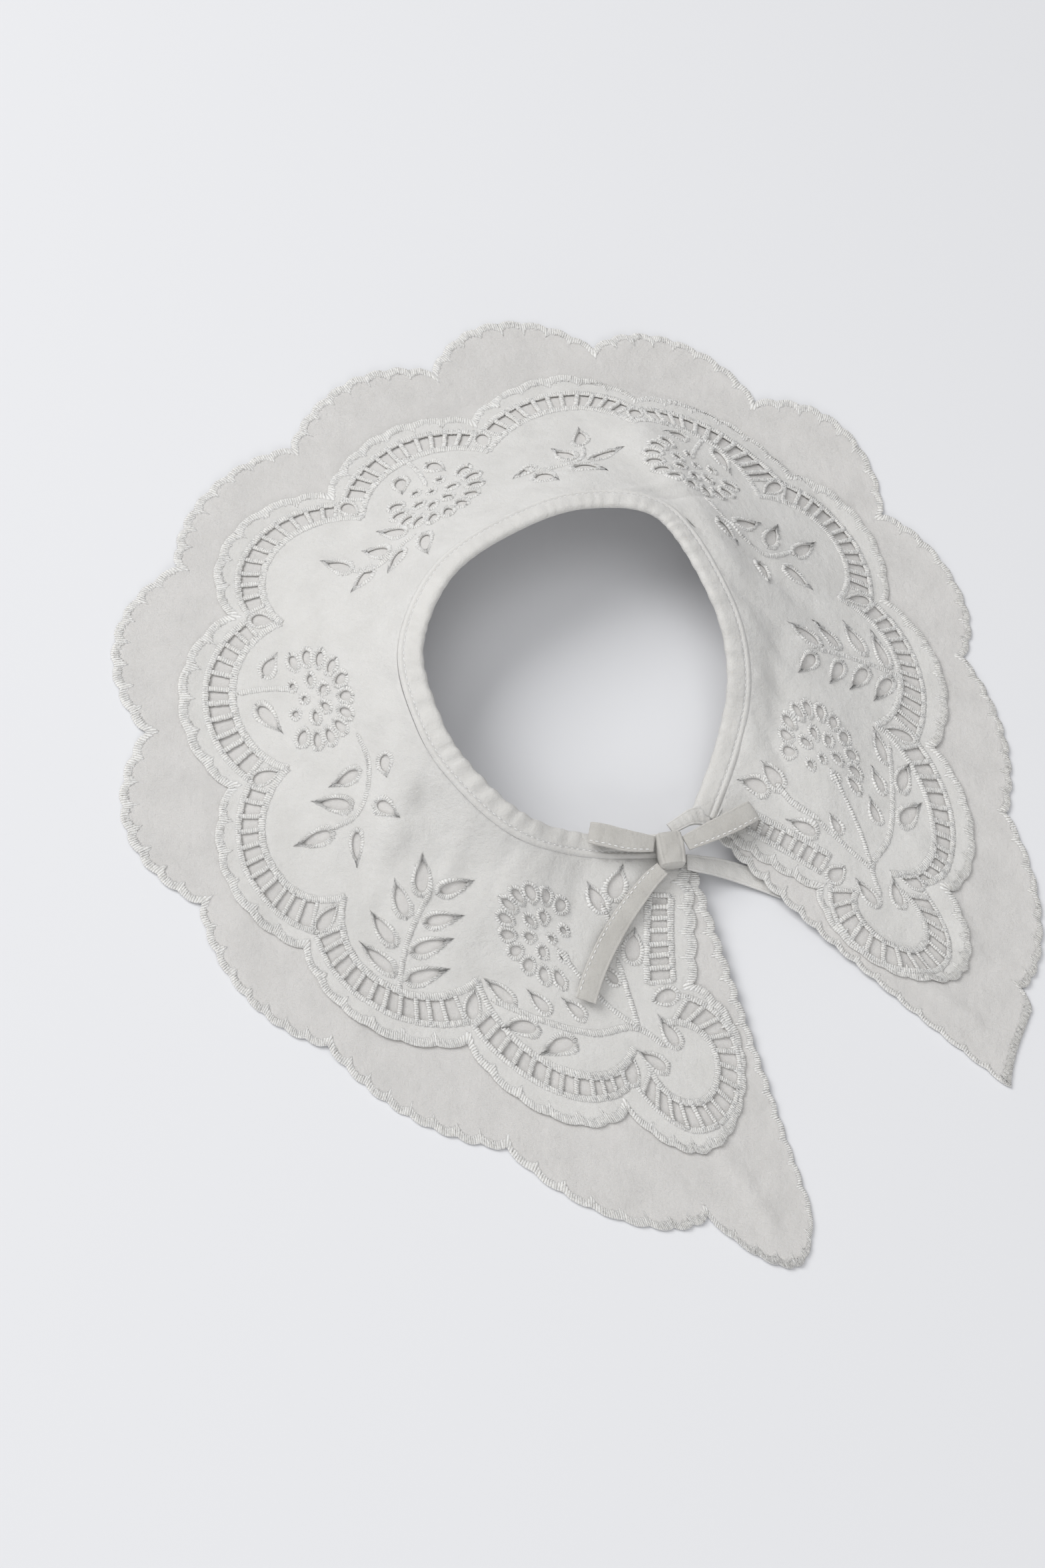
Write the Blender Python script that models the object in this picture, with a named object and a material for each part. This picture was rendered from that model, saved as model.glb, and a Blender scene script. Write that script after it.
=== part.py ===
"""Two-tier embroidered collar with a ruched neckband and a ribbon bow, laid on a flat surface.

Metres, +Z up, the bow toward -Y. A place on the cloth is (u, t): u counts the scallops of the ladder
band from the centre back, clockwise seen from above, and t is the distance out from the neck seam.
One master surface lays the flat pattern out, and both tiers are made from its points, moved out.
"""
import math
from collections import namedtuple

import bmesh
import bpy
import numpy as np
from mathutils import Vector
from mathutils.geometry import delaunay_2d_cdt

# Driving sizes of the flat pattern, a ring sector
SEAM_RADIUS = 0.069
TURN_PER_U = 0.45
FRONT_U = 6.3
BACK_LADDER_DEPTH = 0.062
FRONT_LADDER_EXTRA = 0.014
LADDER_TO_HEM = 0.048
FRONT_HEM_EXTRA = 0.020
FRONT_POWER = 2.5

# Walls, from the master surface up
LOWER_WALL = (0.0, 0.0012)
UPPER_WALL = (0.0024, 0.0034)
SEAM_GAP = 0.0006
FIRST_SPIKE = 5.5
COTTON = (0.87, 0.86, 0.84, 1.0)

# Laid shape
RISE_BEYOND_LADDER = 0.030
FOLD_FADE = 0.014

# The photograph's camera, which turns its measured pixels into places
CAMERA_TILT = math.radians(24.0)
CAMERA_ROLL = math.radians(14.0)
FOCAL_PX = 3000.0
IMAGE_MIDDLE_PX = (784.0, 1176.0)
METRES_PER_PX = 0.000262
LENS_DISTANCE = FOCAL_PX * METRES_PER_PX
PART_TURN = math.radians(-33.0)
ORIGIN_SHIFT = (-0.0362, 0.0081, 0.0)

# Places measured in the photograph, one row for each section of the collar: the neck seam, the line of the
# ladder's spikes and the line of the lower hem's notches; fall_power is 1 where the cloth falls as a
# straight slope and more where it falls as a hollow curve
STATION_COLUMNS = "u fall_power seam_px_x seam_px_y seam_height spike_px_x spike_px_y hem_px_x hem_px_y"
Station = namedtuple("Station", STATION_COLUMNS)
STATIONS = [
    Station(-6.3, 1.6, 1030, 1285, 0.008, 1124, 1560, 1216, 1815),
    Station(-5.5, 1.6, 890, 1285, 0.012, 949, 1573, 1045, 1822),
    Station(-4.5, 1.6, 775, 1253, 0.024, 716, 1470, 690, 1688),
    Station(-3.5, 1.6, 682, 1172, 0.034, 519, 1346, 405, 1492),
    Station(-2.5, 1.6, 630, 1088, 0.040, 437, 1156, 240, 1212),
    Station(-1.5, 1.6, 604, 975, 0.044, 427, 940, 240, 908),
    Station(-0.5, 1.4, 652, 860, 0.048, 546, 783, 422, 688),
    Station(0.5, 1.15, 752, 787, 0.048, 734, 685, 668, 556),
    Station(1.5, 1.0, 872, 746, 0.044, 948, 645, 951, 534),
    Station(2.5, 1.0, 1000, 765, 0.040, 1134, 750, 1223, 668),
    Station(3.5, 1.3, 1090, 895, 0.034, 1254, 902, 1402, 900),
    Station(4.5, 1.5, 1120, 1015, 0.024, 1310, 1090, 1496, 1160),
    Station(5.5, 1.6, 1103, 1130, 0.012, 1333, 1312, 1531, 1468),
    Station(6.3, 1.6, 1064, 1240, 0.008, 1274, 1436, 1516, 1632),
]

# Soft folds, each a straight ridge or trough between two places
Fold = namedtuple("Fold", "u0 t0 u1 t1 half_width height")
FOLDS = [
    Fold(1.60, 0.058, 2.95, 0.010, 0.0110, 0.0034),
    Fold(1.15, 0.050, 2.30, 0.012, 0.0100, -0.0022),
    Fold(3.10, 0.030, 3.85, 0.056, 0.0090, -0.0018),
    Fold(3.95, 0.020, 5.00, 0.016, 0.0090, -0.0022),
    Fold(4.60, 0.044, 5.40, 0.040, 0.0120, 0.0020),
    Fold(-1.10, 0.066, -1.75, 0.030, 0.0150, 0.0030),
    Fold(-2.35, 0.014, -3.45, 0.030, 0.0085, 0.0026),
    Fold(-2.70, 0.036, -3.40, 0.052, 0.0085, -0.0020),
    Fold(-3.50, 0.014, -4.25, 0.022, 0.0090, -0.0024),
    Fold(-4.60, 0.020, -4.30, 0.060, 0.0130, 0.0018),
    Fold(-0.25, 0.026, 0.25, 0.052, 0.0130, 0.0018),
]

# Ladder band and upper hem, a row for each scallop from left to right: how far the ladder's inner edge and
# the hem bulge beyond the line of the spikes, and how deep the hem's notch is after it
Scallop = namedtuple("Scallop", "k inner_bulge hem_bulge notch_after")
SCALLOPS = [
    Scallop(-5, 0.0190, 0.0380, 0.0265),
    Scallop(-4, 0.0200, 0.0385, 0.0285),
    Scallop(-3, 0.0195, 0.0380, 0.0250),
    Scallop(-2, 0.0180, 0.0370, 0.0230),
    Scallop(-1, 0.0190, 0.0380, 0.0225),
    Scallop(0, 0.0145, 0.0320, 0.0220),
    Scallop(1, 0.0145, 0.0340, 0.0220),
    Scallop(2, 0.0110, 0.0310, 0.0280),
    Scallop(3, 0.0185, 0.0390, 0.0275),
    Scallop(4, 0.0190, 0.0400, 0.0285),
    Scallop(5, 0.0210, 0.0390, 0.0265),
]
LADDER_TO_NOTCH = 0.0078
LADDER_WIDTH = 0.0115
INNER_CHORD_SAG = 0.0033
OUTER_CHORD_SAG = 0.0038
HEM_CHORD_SAG = 0.0044
LADDER_SLOTS = 11
SLOT_SHARE = 0.76
SLOT_INSET = (0.12, 0.86)
SLOT_INNER_SPAN = (0.15, 0.85)
SLOT_OUTER_SPAN = (0.02, 0.98)
WEDGE_HALF = 0.0034
WEDGE_CORNERS = ((0.28, 0.0), (0.58, 1.0), (0.90, 0.0), (0.58, -1.0))
SMALL_SCALLOP_SAG = 0.0012
UPPER_SMALL = 6
LOWER_SMALL = 8
SMALL_STEPS = 3
LOWER_STEP = 0.855
LOWER_CHORD_SAG = 0.0036
LOWER_BULGES = (0.0100, 0.0055, 0.0075, 0.0115, 0.0105, 0.0085, 0.0090,
                0.0130, 0.0115, 0.0135, 0.0135, 0.0065, 0.0105)

# The rounded lobe at each front tip of the upper tier, and the ladder up its front edge
LOBE_SPIKE = (5.67, 0.0555)
LOBE_FRONT_NOTCH = (5.93, 0.0530)
LOBE_SHARED_NOTCH = (5.40, 0.0880)
LOBE_CENTRE = (5.80, 0.0790)
LOBE_INNER = (0.0165, 176.0, -84.0)
LOBE_OUTER = (0.0250, 160.0, -68.0)
LOBE_SLOTS = 14
LOBE_HEM_START_U = 5.33
LOBE_HEM_START_T = 0.0977
LOBE_HEM_END = (6.04, 0.0512)
LOBE_HEM_SAG = 0.0415
LOBE_SMALL = 12
FRONT_HEM_END = (6.25, SEAM_GAP)
FRONT_HEM_SAG = 0.0025
FRONT_SMALL = 5
FRONT_SLOTS = 7
FRONT_INNER = ((5.89, 0.0150), (5.72, 0.0480))
FRONT_OUTER = ((6.08, 0.0160), (5.92, 0.0485))

# Front corners of the lower tier: a bulge to a tip on the left, and the same corner folded away on the right
LEFT_TIP = (-6.02, 0.1600)
RIGHT_TIP = (5.65, 0.1410)
CORNER_T = 0.1440
TIP_SAG = 0.0060
FOLDED_SAG = 0.0004

# Flower eyelets: outer petals on part of a ring about a centre
Flower = namedtuple("Flower", "u t facing_deg")
FLOWERS = [Flower(0.0, 0.048, 180), Flower(2.05, 0.048, 180), Flower(-2.05, 0.048, 180),
           Flower(4.95, 0.037, -90), Flower(-4.95, 0.037, 90)]
PETALS = 11
PETAL_RING = 0.0162
PETAL_FAN_DEG = 224
PETAL_HALF = (0.0031, 0.0021)
PETAL_CORNERS = 6

# Leaf and drop eyelets, root to tip with the stitching; side 0 stands for both sides
Leaf = namedtuple("Leaf", "side u0 t0 u1 t1")
LEAVES = [
    Leaf(0, 0.10, 0.0700, 0.17, 0.0600), Leaf(0, 1.88, 0.0685, 1.72, 0.0625),
    Leaf(0, 2.05, 0.0720, 2.25, 0.0630), Leaf(-1, 0.51, 0.0283, 0.80, 0.0250),
    Leaf(-1, 0.30, 0.0270, 0.40, 0.0120), Leaf(-1, 0.61, 0.0335, 0.73, 0.0470),
    Leaf(-1, 0.80, 0.0350, 1.10, 0.0370), Leaf(-1, 0.92, 0.0440, 0.97, 0.0600),
    Leaf(-1, 0.38, 0.0355, 0.52, 0.0490), Leaf(1, 1.15, 0.0490, 1.12, 0.0620),
    Leaf(1, 1.12, 0.0370, 0.93, 0.0500), Leaf(1, 1.25, 0.0350, 1.50, 0.0440),
    Leaf(1, 1.12, 0.0305, 1.47, 0.0240), Leaf(1, 0.80, 0.0405, 0.62, 0.0360),
    Leaf(1, 0.80, 0.0330, 1.05, 0.0195), Leaf(0, 4.03, 0.0806, 3.76, 0.0762),
    Leaf(0, 3.96, 0.0699, 3.70, 0.0627), Leaf(0, 3.94, 0.0573, 3.72, 0.0453),
    Leaf(0, 3.96, 0.0455, 3.77, 0.0303), Leaf(0, 4.05, 0.0414, 4.27, 0.0295),
    Leaf(0, 4.06, 0.0560, 4.29, 0.0461), Leaf(0, 4.06, 0.0695, 4.28, 0.0572),
    Leaf(0, 4.09, 0.0815, 4.31, 0.0692), Leaf(0, 2.71, 0.0324, 2.74, 0.0483),
    Leaf(0, 2.98, 0.0412, 2.79, 0.0573), Leaf(0, 3.08, 0.0537, 3.00, 0.0709),
    Leaf(0, 3.17, 0.0434, 3.41, 0.0521), Leaf(0, 2.69, 0.0205, 2.95, 0.0225),
    Leaf(0, 3.10, 0.0310, 3.38, 0.0270), Leaf(0, 4.76, 0.0710, 4.54, 0.0665),
    Leaf(0, 4.98, 0.0680, 4.83, 0.0625), Leaf(0, 5.22, 0.0646, 5.07, 0.0598),
    Leaf(0, 4.90, 0.0755, 4.68, 0.0825), Leaf(0, 5.12, 0.0745, 4.90, 0.0860),
    Leaf(0, 5.81, 0.0735, 5.74, 0.0605), Leaf(0, 5.69, 0.0808, 5.52, 0.0731),
    Leaf(0, 5.51, 0.0487, 5.43, 0.0416), Leaf(0, 5.65, 0.0405, 5.73, 0.0276),
    Leaf(0, 5.51, 0.0217, 5.40, 0.0102), Leaf(0, 5.60, 0.0170, 5.74, 0.0040),
]
LEAF_HOLE = (0.10, 0.78)
LEAF_HALF = 0.0023
LEAF_FORM = ((0.20, 0.92), (0.58, 0.86))
DROP_HALF_SHARE = 0.22

# Neckband
BAND_REACH = 0.0088
BAND_WALL = 0.0026
BAND_GATHERS = 58
BAND_ENDS = (-6.22, 6.24)
BAND_RISE_BACK = 0.0035
BAND_RISE_FRONT = 0.0005
GATHER_HEIGHT = 0.00055
BAND_CLEARANCE = 0.0003

# The band's section, from the seam round over the top: way in, way up, and the gather's share of each
BandPoint = namedtuple("BandPoint", "inward upward gather_in gather_up")
BAND_SECTION = [
    BandPoint(0.0018, 0.0026, 0.0, 1.0), BandPoint(0.0046, 0.0028, 0.0, -0.5),
    BandPoint(0.0074, 0.0025, 0.0, 1.0), BandPoint(0.0088, 0.0013, 0.5, 0.5),
    BandPoint(0.0078, 0.0002, 0.0, 0.33), BandPoint(0.0034, 0.0, 0.0, 0.0),
]

# Bow: photograph pixels of each ribbon's middle line, with its height and width
RIBBON_WALL = 0.0012
RIBBON_CROWN = 0.0005
RibbonPoint = namedtuple("RibbonPoint", "px_x px_y height width")
LOOP_LEFT = [RibbonPoint(981, 1266, 0.0183, 0.0062), RibbonPoint(962, 1264, 0.0196, 0.0078),
             RibbonPoint(936, 1260, 0.0206, 0.0090), RibbonPoint(908, 1253, 0.0212, 0.0092),
             RibbonPoint(893, 1250, 0.0211, 0.0090), RibbonPoint(886, 1249, 0.0197, 0.0088),
             RibbonPoint(893, 1251, 0.0182, 0.0086), RibbonPoint(920, 1257, 0.0176, 0.0084),
             RibbonPoint(950, 1264, 0.0166, 0.0074), RibbonPoint(980, 1268, 0.0150, 0.0056)]
LOOP_RIGHT = [RibbonPoint(1029, 1265, 0.0182, 0.0062), RibbonPoint(1046, 1257, 0.0184, 0.0072),
              RibbonPoint(1070, 1246, 0.0182, 0.0082), RibbonPoint(1098, 1233, 0.0176, 0.0088),
              RibbonPoint(1122, 1220, 0.0168, 0.0088), RibbonPoint(1130, 1216, 0.0152, 0.0086),
              RibbonPoint(1122, 1221, 0.0136, 0.0084), RibbonPoint(1096, 1235, 0.0138, 0.0080),
              RibbonPoint(1062, 1251, 0.0144, 0.0070), RibbonPoint(1031, 1266, 0.0148, 0.0054)]
TAIL_LEFT = [RibbonPoint(994, 1303, 0.0150, 0.0060), RibbonPoint(978, 1318, 0.0143, 0.0068),
             RibbonPoint(958, 1343, 0.0135, 0.0074), RibbonPoint(936, 1374, 0.0129, 0.0078),
             RibbonPoint(917, 1406, 0.0122, 0.0080), RibbonPoint(902, 1436, 0.0116, 0.0080),
             RibbonPoint(889, 1468, 0.0108, 0.0080), RibbonPoint(879, 1501, 0.0099, 0.0080)]
TAIL_RIGHT = [RibbonPoint(1031, 1293, 0.0136, 0.0062), RibbonPoint(1048, 1296, 0.0112, 0.0070),
              RibbonPoint(1072, 1300, 0.0072, 0.0076), RibbonPoint(1102, 1308, 0.0038, 0.0080),
              RibbonPoint(1135, 1319, 0.0022, 0.0080), RibbonPoint(1175, 1334, 0.0016, 0.0080)]
TIE_RIGHT = [RibbonPoint(1030, 1229, 0.0140, 0.0050), RibbonPoint(1018, 1236, 0.0150, 0.0052),
             RibbonPoint(1006, 1243, 0.0158, 0.0048)]
KNOT_HEIGHT = 0.0166
KNOT_AXIS_PX = ((1001, 1251), (1011, 1300))
KnotRow = namedtuple("KnotRow", "along half_width half_height")
KNOT_ROWS = [KnotRow(0.00, 0.0030, 0.0022), KnotRow(0.10, 0.0046, 0.0037), KnotRow(0.35, 0.0053, 0.0043),
             KnotRow(0.65, 0.0052, 0.0043), KnotRow(0.90, 0.0042, 0.0036), KnotRow(1.00, 0.0028, 0.0022)]
KNOT_POINTS = 10
KNOT_SQUARE = 0.62

# Mesh spacing
UPPER_SPACING = 0.0105
LOWER_SPACING = 0.0086
FAR_SPACING = 0.024
NEAR_LIMIT = 0.096
EDGE_SPACING = 0.0055


def clear_scene():
    """Empty the scene, so that the part stands alone."""
    for thing in list(bpy.data.objects):
        bpy.data.objects.remove(thing, do_unlink=True)


def cloth_material(name):
    """A plain off-white cotton for one solid."""
    material = bpy.data.materials.new(name)
    material.use_nodes = True
    shader = material.node_tree.nodes["Principled BSDF"]
    shader.inputs["Base Color"].default_value = COTTON
    shader.inputs["Roughness"].default_value = 0.9
    return material


def add_solid(name, points, faces):
    """Make one closed solid from its points and faces, moved to the part's own origin."""
    mesh = bpy.data.meshes.new(name)
    mesh.from_pydata([tuple(p) for p in np.asarray(points) + ORIGIN_SHIFT], [], faces)
    work = bmesh.new()
    work.from_mesh(mesh)
    bmesh.ops.recalc_face_normals(work, faces=work.faces)
    work.to_mesh(mesh)
    work.free()
    mesh.materials.append(cloth_material(name))
    thing = bpy.data.objects.new(name, mesh)
    bpy.context.scene.collection.objects.link(thing)
    return thing


def from_photo(px_x, px_y, height):
    """Plan place of a photograph pixel that shows a point at this height."""
    x = (px_x - IMAGE_MIDDLE_PX[0]) / FOCAL_PX
    y = -(px_y - IMAGE_MIDDLE_PX[1]) / FOCAL_PX
    roll_x = math.cos(CAMERA_ROLL) * x - math.sin(CAMERA_ROLL) * y
    roll_y = math.sin(CAMERA_ROLL) * x + math.cos(CAMERA_ROLL) * y
    tilt_cos, tilt_sin = math.cos(CAMERA_TILT), math.sin(CAMERA_TILT)
    reach = (LENS_DISTANCE * tilt_cos - height) / (tilt_cos - tilt_sin * roll_y)
    east = reach * roll_x
    north = reach * (tilt_cos * roll_y + tilt_sin) - LENS_DISTANCE * tilt_sin
    turn = PART_TURN - CAMERA_ROLL
    return (math.cos(turn) * east - math.sin(turn) * north, math.sin(turn) * east + math.cos(turn) * north)


def place_from_photo(px_x, px_y, height):
    """Place in space of a photograph pixel that shows a point at this height."""
    return np.array([*from_photo(px_x, px_y, height), height])


def spike_depth(u):
    """Distance from the neck seam to the line of the ladder's inner spikes."""
    return BACK_LADDER_DEPTH + FRONT_LADDER_EXTRA * (np.abs(u) / FRONT_U) ** FRONT_POWER


def hem_depth(u):
    """Distance from the neck seam to the line of the lower tier's hem notches."""
    return spike_depth(u) + LADDER_TO_HEM + FRONT_HEM_EXTRA * (np.abs(u) / FRONT_U) ** FRONT_POWER


def rise(u, t, power):
    """Share of the seam's height that is left at t: 1 at the seam, 0 where the cloth lies on the floor."""
    rest = spike_depth(u) + RISE_BEYOND_LADDER
    return np.clip(1.0 - t / rest, 0.0, None) ** power


def spline(knots, values, u):
    """Smooth curve through values at the knots."""
    tangent = np.gradient(values, knots, axis=0)
    i = np.clip(np.searchsorted(knots, u) - 1, 0, len(knots) - 2)
    step = knots[i + 1] - knots[i]
    s = (u - knots[i]) / step
    if values.ndim > 1:
        s, step = s[:, None], step[:, None]
    first = (2 * s ** 3 - 3 * s ** 2 + 1) * values[i] + (s ** 3 - 2 * s ** 2 + s) * step * tangent[i]
    second = (3 * s ** 2 - 2 * s ** 3) * values[i + 1] + (s ** 3 - s ** 2) * step * tangent[i + 1]
    return first + second


KNOTS = np.array([row.u for row in STATIONS])
SEAM_HEIGHT = np.array([row.seam_height for row in STATIONS])
SEAM = np.array([from_photo(row.seam_px_x, row.seam_px_y, row.seam_height) for row in STATIONS])
FALL_POWER = np.array([row.fall_power for row in STATIONS])
SPIKE_HEIGHT = SEAM_HEIGHT * rise(KNOTS, spike_depth(KNOTS), FALL_POWER)
SPIKE_LINE = np.array([from_photo(row.spike_px_x, row.spike_px_y, height)
                       for row, height in zip(STATIONS, SPIKE_HEIGHT)])
HEM_LINE = np.array([from_photo(row.hem_px_x, row.hem_px_y, 0.0) for row in STATIONS])


def flat(u, t):
    """Place on the flat pattern."""
    radius, turn = SEAM_RADIUS + t, TURN_PER_U * u
    return np.stack([radius * np.sin(turn), radius * np.cos(turn)], -1)


def unflat(points):
    """The (u, t) of places on the flat pattern."""
    radius = np.hypot(points[:, 0], points[:, 1])
    return np.arctan2(points[:, 0], points[:, 1]) / TURN_PER_U, radius - SEAM_RADIUS


def segment_distance(points, starts, ends):
    """Distance from each point to each straight segment."""
    along = ends - starts
    offset = points[:, None, :] - starts[None]
    share = (offset * along).sum(-1) / np.maximum((along ** 2).sum(-1), 1e-12)
    nearest = np.clip(share, 0, 1)[..., None] * along
    return np.linalg.norm(offset - nearest, axis=-1)


def fold_height(u, t):
    """Height that the soft folds add, none at the neck seam."""
    rows = np.array(FOLDS)
    distance = segment_distance(flat(u, t), flat(rows[:, 0], rows[:, 1]), flat(rows[:, 2], rows[:, 3]))
    total = (rows[:, 5] * np.exp(-(distance / rows[:, 4]) ** 2)).sum(1)
    fade = np.clip(t / FOLD_FADE, 0, 1)
    return total * fade * fade * (3 - 2 * fade)


def surface(u, t):
    """The master surface: where the place (u, t) of the cloth's underside lies."""
    u, t = np.broadcast_arrays(np.atleast_1d(np.asarray(u, float)), np.atleast_1d(np.asarray(t, float)))
    seam, spikes, hem = (spline(KNOTS, line, u) for line in (SEAM, SPIKE_LINE, HEM_LINE))
    to_spikes, to_hem, out = spike_depth(u)[:, None], hem_depth(u)[:, None], t[:, None]
    first = (spikes - seam) / to_spikes
    second = ((hem - spikes) / (to_hem - to_spikes) - first) / to_hem
    plan = seam + out * (first + (out - to_spikes) * second)
    height = spline(KNOTS, SEAM_HEIGHT, u) * rise(u, t, spline(KNOTS, FALL_POWER, u)) + fold_height(u, t)
    return np.column_stack([plan, np.maximum(height, 0.0)])


def surface_normal(u, t):
    """Upward unit normal of the master surface."""
    du, dt = 0.004, 0.0004
    along = surface(u + du, t) - surface(u - du, t)
    outward = surface(u, t + dt) - surface(u, t - dt)
    normal = np.cross(along, outward)
    return normal / np.linalg.norm(normal, axis=1)[:, None]


def arc(start, end, sag, steps):
    """Points of a round arc that bulges to the left of the way from start to end, both included."""
    start, end = np.asarray(start, float), np.asarray(end, float)
    chord = end - start
    length = math.hypot(*chord)
    left = np.array([-chord[1], chord[0]]) / length
    quarter = math.atan2(2 * sag, length)
    radius = length / (2 * math.sin(2 * quarter))
    middle = (start + end) / 2 + left * (sag - radius)
    spoke = start - middle
    angle = -4 * quarter * np.linspace(0, 1, steps + 1)
    turned_x = spoke[0] * np.cos(angle) - spoke[1] * np.sin(angle)
    turned_y = spoke[0] * np.sin(angle) + spoke[1] * np.cos(angle)
    return middle + np.stack([turned_x, turned_y], -1)


def along_arc(start, end, sag, share):
    """The point at this share of the arc's length."""
    return arc(start, end, sag, 400)[int(round(400 * share))]


def scalloped(start, end, sag, small):
    """A large scallop's edge drawn in small scallops, without its end point."""
    corners = arc(start, end, sag, small)
    pairs = zip(corners[:-1], corners[1:])
    return np.vstack([arc(a, b, SMALL_SCALLOP_SAG, SMALL_STEPS)[:-1] for a, b in pairs])


def mirror(points):
    """The same points on the other side of the centre back, kept in order from -u to +u."""
    return (np.asarray(points) * (-1, 1))[::-1]


def seam_edge(first_u, last_u):
    """The edge beside the neck seam, from last_u back to first_u."""
    count = int(abs(last_u - first_u) * TURN_PER_U * SEAM_RADIUS / EDGE_SPACING)
    return flat(np.linspace(last_u, first_u, count + 1), SEAM_GAP)


def slot_quads(inner, outer, inner_span, outer_span, count):
    """Slots between an inner and an outer arc, each arc given as (start, end, sag)."""
    quads = []
    for k in range(count):
        sides = []
        for edge in (-1, 1):
            share = (k + 0.5 + edge * SLOT_SHARE / 2) / count
            near = along_arc(*inner, inner_span[0] + (inner_span[1] - inner_span[0]) * share)
            far = along_arc(*outer, outer_span[0] + (outer_span[1] - outer_span[0]) * share)
            sides.append((near + (far - near) * SLOT_INSET[0], near + (far - near) * SLOT_INSET[1]))
        quads.append(np.array([sides[0][0], sides[0][1], sides[1][1], sides[1][0]]))
    return quads


def wedge_slot(spike, notch):
    """The kite-shaped slot where two scallops of the ladder meet, from inner spike to outer notch."""
    way = notch - spike
    side = np.array([-way[1], way[0]]) / math.hypot(*way) * WEDGE_HALF
    return np.array([spike + way * share + side * edge for share, edge in WEDGE_CORNERS])


def notch_depth(u):
    """How deep the upper hem's notch is at the spike u, beyond the line of the spikes."""
    if u == -FIRST_SPIKE:
        return SCALLOPS[-1].notch_after
    return next(row.notch_after for row in SCALLOPS if row.k == u - 0.5)


def ladder_notch(u):
    """Outer notch of the ladder band at the spike u; the last one on each side is shared with the lobe."""
    if abs(u) == FIRST_SPIKE:
        return flat(math.copysign(LOBE_SHARED_NOTCH[0], u), LOBE_SHARED_NOTCH[1])
    return flat(u, spike_depth(u) + notch_depth(u) - LADDER_TO_NOTCH)


def lobe_slots():
    """Slots round the lobe at the right front tip."""
    centre = flat(*LOBE_CENTRE)
    outward = centre / math.hypot(*centre)
    sideways = np.array([outward[1], -outward[0]])
    slots = []
    for k in range(LOBE_SLOTS):
        corners = []
        for radius, first, last in (LOBE_INNER, LOBE_OUTER):
            for edge in (-1, 1):
                turn = math.radians(first + (last - first) * (k + 0.5 + edge * SLOT_SHARE / 2) / LOBE_SLOTS)
                corners.append(centre + radius * (sideways * math.cos(turn) + outward * math.sin(turn)))
        slots.append(np.array([corners[0], corners[2], corners[3], corners[1]]))
    return slots


def ladder_slots():
    """All slots of the ladder band: between the spikes, at them, round each lobe and up each front edge."""
    slots = []
    for row in SCALLOPS:
        u0, u1 = row.k - 0.5, row.k + 0.5
        notch_line = (notch_depth(u0) + notch_depth(u1)) / 2 - LADDER_TO_NOTCH
        inner = (flat(u0, spike_depth(u0)), flat(u1, spike_depth(u1)), row.inner_bulge + INNER_CHORD_SAG)
        outer_sag = row.inner_bulge + LADDER_WIDTH - notch_line + OUTER_CHORD_SAG
        outer = (ladder_notch(u0), ladder_notch(u1), outer_sag)
        slots += slot_quads(inner, outer, SLOT_INNER_SPAN, SLOT_OUTER_SPAN, LADDER_SLOTS)
        if u0 > -FIRST_SPIKE:
            slots.append(wedge_slot(flat(u0, spike_depth(u0)), ladder_notch(u0)))
    front = lobe_slots()
    front.append(wedge_slot(flat(FIRST_SPIKE, spike_depth(FIRST_SPIKE)), ladder_notch(FIRST_SPIKE)))
    front.append(wedge_slot(flat(*LOBE_SPIKE), flat(*LOBE_FRONT_NOTCH)))
    inner = (flat(*FRONT_INNER[1]), flat(*FRONT_INNER[0]), 0.0001)
    outer = (flat(*FRONT_OUTER[1]), flat(*FRONT_OUTER[0]), 0.0001)
    front += slot_quads(inner, outer, (0.0, 1.0), (0.0, 1.0), FRONT_SLOTS)
    return slots + front + [mirror(slot) for slot in front]


def petal_holes():
    """The outer petals of every flower."""
    holes = []
    for flower in FLOWERS:
        centre = flat(flower.u, flower.t)
        outward = math.pi / 2 - TURN_PER_U * flower.u
        for k in range(PETALS):
            fan = math.radians(PETAL_FAN_DEG) * (k / (PETALS - 1) - 0.5)
            heading = outward - math.radians(flower.facing_deg) + fan
            along = np.array([math.cos(heading), math.sin(heading)])
            across = np.array([-along[1], along[0]])
            middle = centre + along * PETAL_RING
            long_way, short_way = along * PETAL_HALF[0], across * PETAL_HALF[1]
            holes.append(np.array([middle + long_way * math.cos(a) + short_way * math.sin(a)
                                   for a in np.linspace(0, 2 * math.pi, PETAL_CORNERS + 1)[:-1]]))
    return holes


def leaf_hole(root, tip):
    """A teardrop hole inside its stitching, round at the root and pointed at the tip."""
    way = tip - root
    length = math.hypot(*way)
    side = np.array([-way[1], way[0]]) / length
    half = min(LEAF_HALF, DROP_HALF_SHARE * length)
    start, end = root + way * LEAF_HOLE[0], root + way * LEAF_HOLE[1]
    left = [start + (end - start) * share + side * half * width for share, width in LEAF_FORM]
    right = [start + (end - start) * share - side * half * width for share, width in LEAF_FORM[::-1]]
    return np.array([start, *left, end, *right])


def leaf_holes():
    """Every leaf and drop eyelet on its side or on both."""
    holes = []
    for leaf in LEAVES:
        for side in (-1, 1):
            if leaf.side in (0, side):
                holes.append(leaf_hole(flat(side * leaf.u0, leaf.t0), flat(side * leaf.u1, leaf.t1)))
    return holes


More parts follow.
